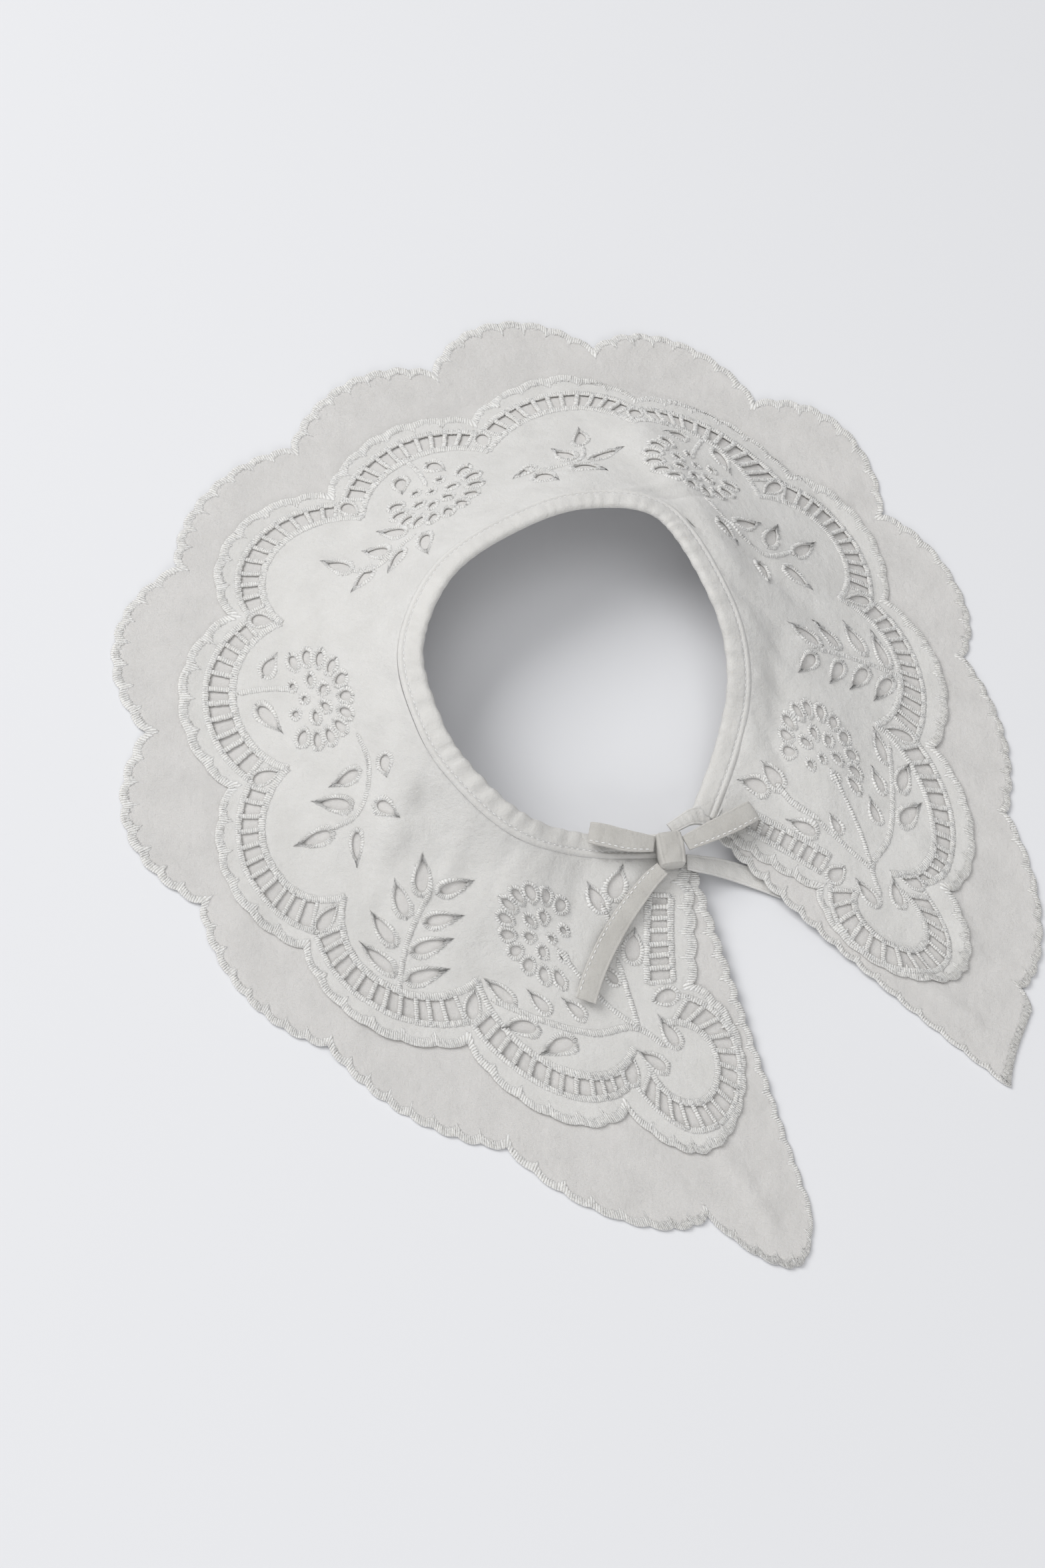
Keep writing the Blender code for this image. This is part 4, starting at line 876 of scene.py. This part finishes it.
def new_piece(name, points, faces, material, uv=None):
    """Make a piece from points and faces, riding on the part."""
    mesh = bpy.data.meshes.new(name)
    mesh.from_pydata([tuple(p) for p in points], [], faces)
    if uv is not None:
        layer = mesh.uv_layers.new(name="stitches")
        corner = np.zeros(len(mesh.loops), int)
        mesh.loops.foreach_get("vertex_index", corner)
        layer.data.foreach_set("uv", uv[corner].ravel())
    mesh.materials.append(material)
    mesh.polygons.foreach_set("use_smooth", [True] * len(mesh.polygons))
    mesh.update()
    piece = bpy.data.objects.new(name, mesh)
    bpy.context.scene.collection.objects.link(piece)
    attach(piece, "root")
    return piece


def cloth_shell(name, outline, holes, spacing, tier_lift, material):
    """A thin cloth of this outline and these holes, laid on the form."""
    loops = [outline] + holes
    points = np.vstack(loops + [staggered_points(loops, spacing)])
    edges, first = [], 0
    for loop in loops:
        edges += [(first + i, first + (i + 1) % len(loop)) for i in range(len(loop))]
        first += len(loop)
    places, _, triangles, *_ = delaunay_2d_cdt([Vector(p) for p in points], edges, [], 0, 1e-7)
    places = np.array([tuple(p) for p in places])
    triangles = np.array([tuple(t) for t in triangles])
    triangles = triangles[inside(places[triangles].mean(1), loops)]
    count = len(places)
    form, normal, lift = surface(places), surface_normal(places), tier_lift(places)[:, None]
    directed = {(int(t[i]), int(t[(i + 1) % 3])) for t in triangles for i in range(3)}
    rim = [edge for edge in directed if edge[::-1] not in directed]
    faces = [tuple(int(i) + count for i in t) for t in triangles]
    faces += [tuple(int(i) for i in t[::-1]) for t in triangles]
    faces += [(a, b, b + count, a + count) for a, b in sorted(rim)]
    solid = np.vstack([form + normal * lift, form + normal * (lift + SHELL)])
    used = np.unique(triangles)
    kept = np.concatenate([used, used + count])
    index = np.full(2 * count, -1)
    index[kept] = np.arange(len(kept))
    faces = [tuple(int(index[i]) for i in face) for face in faces]
    return new_piece(name, solid[kept], faces, material)


class Stitching:
    """Satin bands that are gathered into one piece."""

    def __init__(self):
        self.points, self.lifts, self.faces, self.uv, self.count = [], [], [], [], 0

    def band(self, first_edge, second_edge, section, closed=False):
        """A stitched band between two edges with the same number of points."""
        steps, ring = len(first_edge), len(section)
        zigzag = np.where(np.arange(steps) % 2, -1.0, 1.0)
        ragged = RANDOM.uniform(-1, 1, steps) + 0.4 * zigzag
        lumps = LUMP_HEIGHT * np.convolve(RANDOM.uniform(-1, 1, steps + 3), (0.5, 1.0, 1.0, 0.5), "valid")
        for row in section:
            share = (row.share + row.ragged * ragged)[:, None]
            self.points.append(first_edge + (second_edge - first_edge) * share)
            strands = STRAND_HEIGHT * zigzag * RANDOM.uniform(0.3, 1.7, steps) + lumps
            self.lifts.append(row.lift + row.ridge * strands)
            self.uv.append(np.column_stack([np.arange(steps) / 2, np.full(steps, row.share)]))
        start = self.count
        for j in range(ring):
            k = (j + 1) % ring
            for i in range(steps if closed else steps - 1):
                n = (i + 1) % steps
                self.faces.append((start + j * steps + i, start + k * steps + i,
                                   start + k * steps + n, start + j * steps + n))
        if not closed:
            self.faces.append(tuple(start + j * steps for j in range(ring))[::-1])
            self.faces.append(tuple(start + j * steps + steps - 1 for j in range(ring)))
        self.count += steps * ring

    def piece(self, name, tier_lift, material, node_slot):
        """Lay all the bands on the form as one piece."""
        laid = lay(np.vstack(self.points), np.concatenate(self.lifts), tier_lift)
        made = new_piece(name, laid, self.faces, material, np.vstack(self.uv))
        orient(made)
        return made


def orient(piece):
    """Turn every face of a closed piece outward."""
    work = bmesh.new()
    work.from_mesh(piece.data)
    bmesh.ops.recalc_face_normals(work, faces=work.faces)
    work.to_mesh(piece.data)
    work.free()


def cord_between(stitching, start, end):
    """A straight stitched bar."""
    count = max(6, 2 * int(round(math.hypot(*(end - start)) / STITCH_STEP / 2)))
    line = start + np.outer(np.linspace(0, 1, count + 1), end - start)
    left = left_of(line)
    stitching.band(line + left * BAR_HALF, line - left * BAR_HALF, CORD_SECTION)


def ladder_stitching():
    """Satin borders and bars of the ladder band, its lobes and front stretches."""
    work = Stitching()

    def border(curve, band, side=1):
        line = resampled(curve, STITCH_STEP)
        left = left_of(line) * side
        work.band(line + left * band[0], line + left * band[1], CORD_SECTION)

    for row in SCALLOPS:
        inner, outer = ladder_arcs(row)
        border(arc(*inner, 200), INNER_BAND)
        border(arc(*outer, 200), OUTER_BAND)
        for start, end in bar_lines(inner, outer, SCALLOP_SPANS, LADDER_SLOTS):
            cord_between(work, start, end)
    for side in (1, -1):
        flip = np.array([side, 1])
        for span, band in ((LOBE_INNER, LOBE_INNER_BAND), (LOBE_OUTER, LOBE_OUTER_BAND)):
            ring = [lobe_place(span, share) for share in np.linspace(*LOBE_ENDS, 200)]
            border(np.array(ring) * flip, band, side)
        for k in range(LOBE_SLOTS + 1):
            start = lobe_place(LOBE_INNER, k / LOBE_SLOTS, -BAR_REACH)
            end = lobe_place(LOBE_OUTER, k / LOBE_SLOTS, BAR_REACH)
            cord_between(work, start * flip, end * flip)
        inner, outer = front_arcs()
        border(arc(*inner, 60) * flip, FRONT_INNER_BAND, side)
        border(arc(*outer, 60) * flip, FRONT_OUTER_BAND, side)
        for start, end in bar_lines(inner, outer, FRONT_SPANS, FRONT_SLOTS):
            cord_between(work, start * flip, end * flip)
    for spike, notch in wedges():
        hole = resampled(wedge(spike, notch), STITCH_STEP, closed=True)
        edge = resampled(wedge(spike, notch, WEDGE_RIM), STITCH_STEP, closed=True)
        work.band(hole, matched(edge, len(hole)), RIM_SECTION, closed=True)
    return work


def eyelet_stitching(rims):
    """Satin rims round eyelets."""
    work = Stitching()
    for hole, edge in rims:
        work.band(hole, edge, RIM_SECTION, closed=True)
    return work


def stem_stitching():
    """Corded stems."""
    work = Stitching()
    for stem in STEMS:
        for side in (-1, 1):
            if stem.side not in (0, side):
                continue
            line = through([(side * u, t) for u, t in stem.places], STITCH_STEP)
            left = left_of(line)
            from_end = np.minimum(np.arange(len(line)), np.arange(len(line))[::-1])
            side_step = left * stem.half_width * np.clip(from_end / 4.0, 0.35, 1)[:, None]
            work.band(line + side_step, line - side_step, CORD_SECTION)
    return work


def hem_stitching(path, width):
    """The satin border along a hem, whose inner edge runs to a point where two small scallops meet."""
    work = Stitching()
    line = resampled(path, STITCH_STEP)
    lengths = lengths_along(path)
    corners = lengths[::SMALL_STEPS]
    share = np.interp(np.linspace(0, lengths[-1], len(line)), corners, np.arange(len(corners))) % 1
    widths = width * (1 + HEM_POINT * np.abs(2 * share - 1) ** HEM_POINT_POWER)
    soft = smoothed(line, HEM_SMOOTHING)
    work.band(smoothed(line, 1), line - left_of(soft) * widths[:, None], HEM_SECTION)
    return work


def set_sockets(material, node, *values, **named):
    """Set or link a node's inputs, in order or by name; a low line in a name stands for a space."""
    by_name = [(name.replace("_", " "), value) for name, value in named.items()]
    for key, value in [*enumerate(values), *by_name]:
        if isinstance(value, bpy.types.NodeSocket):
            material.node_tree.links.new(value, node.inputs[key])
        else:
            node.inputs[key].default_value = value


def add_node(material, kind, *values, **named):
    """Add a shader node with these inputs."""
    node = material.node_tree.nodes.new(kind)
    set_sockets(material, node, *values, **named)
    return node


def new_material(name):
    """A material and its shader."""
    material = bpy.data.materials.new(name)
    material.use_nodes = True
    return material, material.node_tree.nodes["Principled BSDF"]


def tone_ramp(material, source, shade, colour, low, high):
    """A colour that goes from shade to colour while the source goes from low to high."""
    ramp = add_node(material, "ShaderNodeValToRGB", Fac=source)
    for element, position, tone in zip(ramp.color_ramp.elements, (low, high), (shade, colour)):
        element.position = position
        element.color = (*tone, 1)
    return ramp.outputs["Color"]


def bump(material, height, strength, distance, **under):
    """A bumpy normal, on top of the one under it."""
    return add_node(material, "ShaderNodeBump", Height=height, Strength=strength, Distance=distance,
                    **under).outputs["Normal"]


def cotton_material(name, colour, shade, roughness):
    """Fine plain-woven cotton: a thread weave, a soft nap and faint uneven tone."""
    material, shader = new_material(name)
    place = add_node(material, "ShaderNodeTexCoord").outputs["Object"]
    turn = add_node(material, "ShaderNodeMapping", Vector=place, Rotation=(0.0, 0.0, 0.6)).outputs["Vector"]
    tone = add_node(material, "ShaderNodeTexNoise", Vector=turn, Scale=70.0, Detail=4.0, Roughness=0.55)
    threads = []
    for direction in ("X", "Y"):
        wave = add_node(material, "ShaderNodeTexWave", Vector=turn, Scale=620.0, Distortion=1.2,
                        Detail=1.0, Detail_Scale=0.4)
        wave.bands_direction = direction
        threads.append(wave.outputs["Fac"])
    weave = add_node(material, "ShaderNodeMath", *threads)
    crumple = add_node(material, "ShaderNodeTexNoise", Vector=turn, Scale=110.0, Detail=6.0, Roughness=0.68)
    woven = bump(material, weave.outputs["Value"], 0.35, 0.00006)
    set_sockets(material, shader,
                Base_Color=tone_ramp(material, tone.outputs["Fac"], shade, colour, 0.30, 0.62),
                Normal=bump(material, crumple.outputs["Fac"], 0.9, 0.0014, Normal=woven),
                Roughness=roughness, Subsurface_Weight=0.5, Subsurface_Radius=SCATTER,
                Subsurface_Scale=0.0015, Sheen_Weight=0.12, Sheen_Roughness=0.6, Specular_IOR_Level=0.25)
    return material


def thread_material():
    """Satin stitch: threads side by side across each band, slightly glossy, with shade between them."""
    material, shader = new_material("satin_thread")
    along = add_node(material, "ShaderNodeUVMap")
    along.uv_map = "stitches"
    strip = along.outputs["UV"]
    # A wave at the stitch pitch puts the dark tone in the valleys between the threads: painted shade,
    # broken into flecks by the wave's distortion.
    thread = add_node(material, "ShaderNodeTexWave", Vector=strip, Scale=0.3142, Phase_Offset=math.pi,
                      Distortion=1.6, Detail=2.0, Detail_Scale=2.0)
    drawn = add_node(material, "ShaderNodeMapping", Vector=strip, Scale=(2.6, 0.9, 1.0),
                     Rotation=(0.0, 0.0, 0.12))
    strands = add_node(material, "ShaderNodeTexNoise", Vector=drawn.outputs["Vector"], Scale=1.0,
                       Detail=2.0, Roughness=0.6)
    place = add_node(material, "ShaderNodeTexCoord").outputs["Object"]
    fuzz = add_node(material, "ShaderNodeTexNoise", Vector=place, Scale=900.0, Detail=3.0)
    threads = bump(material, strands.outputs["Fac"], 1.0, 0.00045)
    set_sockets(material, shader,
                Base_Color=tone_ramp(material, thread.outputs["Fac"], THREAD_GAP_PAINTED_SHADE, THREAD, 0.12, 0.6),
                Normal=bump(material, fuzz.outputs["Fac"], 1.0, 0.00055, Normal=threads),
                Roughness=0.62, Subsurface_Weight=0.4, Subsurface_Radius=SCATTER, Subsurface_Scale=0.0012,
                Sheen_Weight=0.2, Sheen_Roughness=0.4, Specular_IOR_Level=0.35)
    return material


def floor_material():
    """The pale matt surface that the collar lies on."""
    material, shader = new_material("pale_surface")
    set_sockets(material, shader, Base_Color=(*FLOOR, 1), Roughness=0.8)
    return material


def ring_faces(first, count, ring):
    """Faces of a closed tube through rings of points, the first point being number first."""
    faces = []
    for j in range(count - 1):
        low, high = first + j * ring, first + (j + 1) * ring
        faces += [(low + i, low + (i + 1) % ring, high + (i + 1) % ring, high + i) for i in range(ring)]
    faces.append(tuple(range(first, first + ring))[::-1])
    faces.append(tuple(range(first + (count - 1) * ring, first + count * ring)))
    return faces


def tube(name, sections, material):
    """A closed tube through rings of points, each ring with the same number of points."""
    faces = ring_faces(0, sections.shape[0], sections.shape[1])
    made = new_piece(name, sections.reshape(-1, 3), faces, material)
    orient(made)
    return made


def stitch_row(name, line, up, material):
    """A row of machine stitches along a line in space: short round threads half sunk in the cloth."""
    lengths = lengths_along(line)

    def at(place, rows):
        return np.array([np.interp(place, lengths, rows[:, k]) for k in range(3)])

    points, faces, start = [], [], 0.0
    while start + STITCH_LENGTH < lengths[-1]:
        faces += ring_faces(len(points), len(STITCH_RINGS), STITCH_SIDES)
        first, last, lift = at(start, line), at(start + STITCH_LENGTH, line), at(start, up)
        way = (last - first) / np.linalg.norm(last - first)
        side = np.cross(way, lift)
        side /= np.linalg.norm(side)
        for row in STITCH_RINGS:
            middle = first + (last - first) * row.along + lift * row.height * STITCH_THICK
            for a in range(STITCH_SIDES):
                turn = math.radians(360 / STITCH_SIDES * a)
                spoke = side * math.cos(turn) * STITCH_FLATNESS + lift * math.sin(turn)
                points.append(middle + spoke * STITCH_THICK * row.size)
        start += STITCH_LENGTH + STITCH_GAP
    made = new_piece(name, np.array(points), faces, material)
    orient(made)
    return made


def neckband(cotton, thread):
    """The ruched band: a flat tube whose top and inner edge swell between the gathers."""
    u = np.linspace(*BAND_ENDS, BAND_STEPS)
    base = surface(flat(u, 0.0))
    lean = surface_normal(flat(u, 0.0002))
    along = unit(np.gradient(base, axis=0) * (1, 1, 0))
    inward = np.column_stack([along[:, 1], -along[:, 0], np.zeros(BAND_STEPS)])
    lift = BAND_RISE_BACK * base[:, 2] / SEAM_HEIGHT.max() + BAND_RISE_FRONT
    angle = np.arcsin(lift / BAND_REACH)[:, None]
    up = np.array([0.0, 0.0, 1.0])
    way = inward * np.cos(angle) + up * np.sin(angle)
    off = up * np.cos(angle) - inward * np.sin(angle)
    length = lengths_along(base)
    spread = RANDOM.uniform(0.45, 1.55, int(length[-1] / GATHER_PITCH) + 12)
    gathers = np.cumsum(spread) * GATHER_PITCH
    weight = RANDOM.uniform(0.55, 1.25, len(gathers))
    strength = np.interp(u, *zip(*GATHER_STRENGTH))
    rings = []
    for share in BAND_TOP_SHARES:
        place = length + GATHER_SLANT * GATHER_PITCH * (share - STITCH_LINE)
        swell = np.cos(2 * math.pi * np.interp(place, gathers, np.arange(len(gathers))))
        swell = np.sign(swell) * np.abs(swell) ** 0.8 * np.interp(place, gathers, weight) * strength
        body = max(1 - abs((share - BAND_CROWN[0]) / BAND_CROWN[1]) ** 5, 0) ** 0.5
        grown = np.clip((share - STITCH_LINE) / 0.2, 0, 1)
        seam_dip = BAND_SEAM_DIP * math.exp(-((share - STITCH_LINE) / 0.028) ** 2)
        edge_roll = BAND_EDGE_ROLL * math.exp(-((share - 0.06) / 0.045) ** 2)
        foot = BAND_FOOT + BAND_FOOT_EXTRA * (share < 0.4)
        height = foot + (BAND_HEIGHT + BAND_TILT - foot) * body - seam_dip + edge_roll
        height = height + GATHER_HEIGHT * swell * grown * body
        reach = BAND_REACH * share + GATHER_EDGE * swell * share ** 2
        rings.append(base + way * reach[:, None] + off * height[:, None])
    for share in BAND_UNDER_SHARES:
        under = off * (BAND_TILT * share) + lean * BAND_LEAN * (1 - share)
        rings.append(base + way * (BAND_REACH * share) + under)
    sections = np.stack(rings, 1)
    band = tube("neckband_cloth", sections, cotton)
    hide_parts("neckband")
    column = BAND_TOP_SHARES.index(STITCH_LINE)
    line = sections[8:-8, column] + off[8:-8] * BAND_STITCH_LIFT
    return band, stitch_row("neckband_stitches", line, off[8:-8], thread)


def ribbon_frame(rows, looped, steps):
    """Middle line, side and top directions and half width along a ribbon."""
    corners = np.array([place_from_photo(row.px_x, row.px_y, row.height) for row in rows])
    knots = lengths_along(corners)
    places = np.linspace(0, knots[-1], steps)
    middle = spline(knots, corners, places)
    forward = unit(np.gradient(middle, axis=0))
    level = forward * (1, 1, 0)
    if looped:
        reach = int(np.argmax(np.linalg.norm(middle - middle[0], axis=1)))
        level = np.tile((middle[reach] - middle[0]) * (1, 1, 0), (steps, 1))
    across = unit(np.column_stack([-level[:, 1], level[:, 0], np.zeros(steps)]))
    off = unit(np.cross(forward, across))
    return middle, across, off, np.interp(places, knots, [row.width / 2 for row in rows])


def ribbon(row, cotton, thread, steps=90):
    """A folded and edge-stitched ribbon, with a slight crown and rounded folds at its edges."""
    middle, across, off, width = ribbon_frame(row.places, row.looped, steps)
    wobble = sum(height * np.sin(np.linspace(*span, steps)) for height, span in RIBBON_WAVES)
    wall = RIBBON_WALL / 2
    rings = [middle + across * (width * side)[:, None]
             + off * (wall * top + wobble * (1 - side ** 2))[:, None] for side, top in RIBBON_SECTION]
    made = tube(row.piece, np.stack(rings, 1), cotton)
    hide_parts(row.node)
    pieces = []
    for k, side in enumerate(row.stitched_sides):
        seam = across * (width * RIBBON_STITCHES[0] * side)[:, None]
        line = middle + seam + off * (wall * RIBBON_STITCHES[1])
        pieces.append(stitch_row(f"{row.piece}_stitches_{k}", line[3:-3], off[3:-3], thread))
    return made, pieces


def knot(cotton):
    """The knot: a soft squarish roll with the folded edges of the wrap showing as shallow creases."""
    start, end = (place_from_photo(x, y, KNOT_HEIGHT) for x, y in KNOT_AXIS_PX)
    way = (end - start) / np.linalg.norm(end - start)
    across = np.array([-way[1], way[0], 0.0])
    up = np.array([0.0, 0.0, 1.0])
    share = 0.5 - 0.5 * np.cos(np.linspace(0, math.pi, 48))
    knots = [row.along for row in KNOT_ROWS]
    widths = np.interp(share, knots, [row.half_width for row in KNOT_ROWS])
    heights = np.interp(share, knots, [row.half_height for row in KNOT_ROWS])
    rings = []
    for turn in np.linspace(0, 2 * math.pi, 65)[:-1]:
        side, top = (math.copysign(abs(v) ** KNOT_SQUARE, v) for v in (math.cos(turn), math.sin(turn)))
        crease = sum(depth * math.exp(-((side - place) / reach) ** 2)
                     for place, reach, depth in KNOT_CREASES)
        pull = KNOT_PULL * np.sin(9 * share + 4 * side)
        lift = heights * top - (crease - pull) * (top > 0)
        rings.append(start + np.outer(share, end - start) + np.outer(widths * side, across)
                     + np.outer(lift, up))
    made = tube("knot_cloth", np.stack(rings, 1), cotton)
    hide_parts("bow_knot")


def tier(name, path, rim_step, neck_u, holes, spacing, tier_lift, material, node_slot):
    """One tier's cloth, cut just inside its hem's outer edge."""
    edge = smoothed(resampled(path, rim_step), 2)
    edge = edge - left_of(edge) * CLOTH_INSET
    outline = np.vstack([edge, neck_edge(neck_u)])
    made = cloth_shell(name, outline, holes, spacing, tier_lift, material)
    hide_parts(node_slot)
    return made


def build_collar():
    """Every piece of the collar."""
    cotton = cotton_material("upper_cotton", UPPER_COTTON, UPPER_COTTON_SHADE, 0.9)
    # The lower tier's cotton is darker than the upper's: partly painted shade for the tier lying lower, and
    # partly the look of a single layer.
    lower_cotton_partly_shaded = cotton_material("lower_cotton_partly_painted_shade", LOWER_COTTON, LOWER_COTTON_SHADE, 0.9)
    tie_cotton = cotton_material("tie_cotton", TIE_COTTON, TIE_COTTON_SHADE, 0.85)
    thread = thread_material()
    leaves, petals, slots = leaf_eyelets(), flower_eyelets(), ladder_slots()
    holes = slots + [resampled(hole, HOLE_STEP, closed=True) for hole, _ in leaves + petals]
    upper = tier("upper_cloth", upper_hem(), UPPER_EDGE_STEP, FRONT_HEM_END[0], holes, UPPER_SPACING,
                 upper_lift, cotton, "upper_collar")
    lower = tier("lower_cloth", lower_hem(), LOWER_EDGE_STEP, FRONT_U, [], LOWER_SPACING,
                 lower_lift, lower_cotton_partly_shaded, "lower_collar")
    upper_with = [work.piece(name, upper_lift, thread, "upper_collar") for name, work in (
        ("ladder_stitching", ladder_stitching()), ("leaf_stitching", eyelet_stitching(leaves)),
        ("flower_stitching", eyelet_stitching(petals)), ("stem_stitching", stem_stitching()),
        ("upper_hem", hem_stitching(upper_hem(), UPPER_HEM_WIDTH)))]
    lower_edge = hem_stitching(lower_hem(), LOWER_HEM_WIDTH)
    lower_with = lower_edge.piece("lower_hem", lower_lift, thread, "lower_collar")
    band, band_stitches = neckband(cotton, thread)
    for row in RIBBONS:
        made, stitches = ribbon(row, tie_cotton if row.stitched_sides else cotton, thread)
    knot(tie_cotton)


def build_floor():
    """A plain pale floor."""
    corners = [(x * FLOOR_HALF, y * FLOOR_HALF, 0) for x, y in ((-1, -1), (1, -1), (1, 1), (-1, 1))]
    mesh = bpy.data.meshes.new("floor")
    mesh.from_pydata(corners, [], [(0, 1, 2, 3)])
    mesh.materials.append(floor_material())
    floor = bpy.data.objects.new("floor", mesh)
    floor.location.z = FLOOR_DROP
    bpy.context.scene.collection.objects.link(floor)


def in_part_frame(vector):
    """A direction or place in the camera's level axes, turned into the part's axes."""
    x, y = turned(vector[0], vector[1])
    return Vector((x, y, vector[2]))


def build_camera():
    """The camera at the photograph's angle."""
    sin_tilt, cos_tilt = math.sin(CAMERA_TILT), math.cos(CAMERA_TILT)
    right, up, forward = (Vector(v) for v in ((1, 0, 0), (0, cos_tilt, sin_tilt), (0, sin_tilt, -cos_tilt)))
    sin_roll, cos_roll = math.sin(CAMERA_ROLL), math.cos(CAMERA_ROLL)
    image_right = in_part_frame(right * cos_roll + up * sin_roll)
    image_up = in_part_frame(up * cos_roll - right * sin_roll)
    lens = in_part_frame(forward * -LENS_DISTANCE) + Vector(ORIGIN_SHIFT)
    data = bpy.data.cameras.new("camera")
    data.sensor_fit = "VERTICAL"
    data.sensor_height = SENSOR
    data.lens = FOCAL_PX / IMAGE_HEIGHT_PX * SENSOR
    camera = bpy.data.objects.new("camera", data)
    axes = Matrix((image_right, image_up, in_part_frame(-forward))).transposed().to_4x4()
    camera.matrix_world = Matrix.Translation(lens) @ axes
    bpy.context.scene.collection.objects.link(camera)
    bpy.context.scene.camera = camera


def area_light(name, place, size, energy, colour):
    """A soft square light that looks at the collar."""
    data = bpy.data.lights.new(name, "AREA")
    data.size = size
    data.energy = energy
    data.color = colour
    light = bpy.data.objects.new(name, data)
    light.location = in_part_frame(place)
    light.rotation_mode = "QUATERNION"
    light.rotation_quaternion = (-light.location).to_track_quat("-Z", "Y")
    bpy.context.scene.collection.objects.link(light)


def build_lights():
    """Soft daylight from the photograph's upper left, two weaker lights and a pale sky all round."""
    for row in LIGHTS:
        area_light(*row)
    world = bpy.data.worlds.new("sky")
    world.use_nodes = True
    background = world.node_tree.nodes["Background"]
    background.inputs["Color"].default_value = SKY
    background.inputs["Strength"].default_value = SKY_STRENGTH
    bpy.context.scene.world = world
    bpy.context.scene.view_settings.view_transform = "Standard"


build_collar()
build_floor()
build_camera()
build_lights()
bpy.context.view_layer.update()
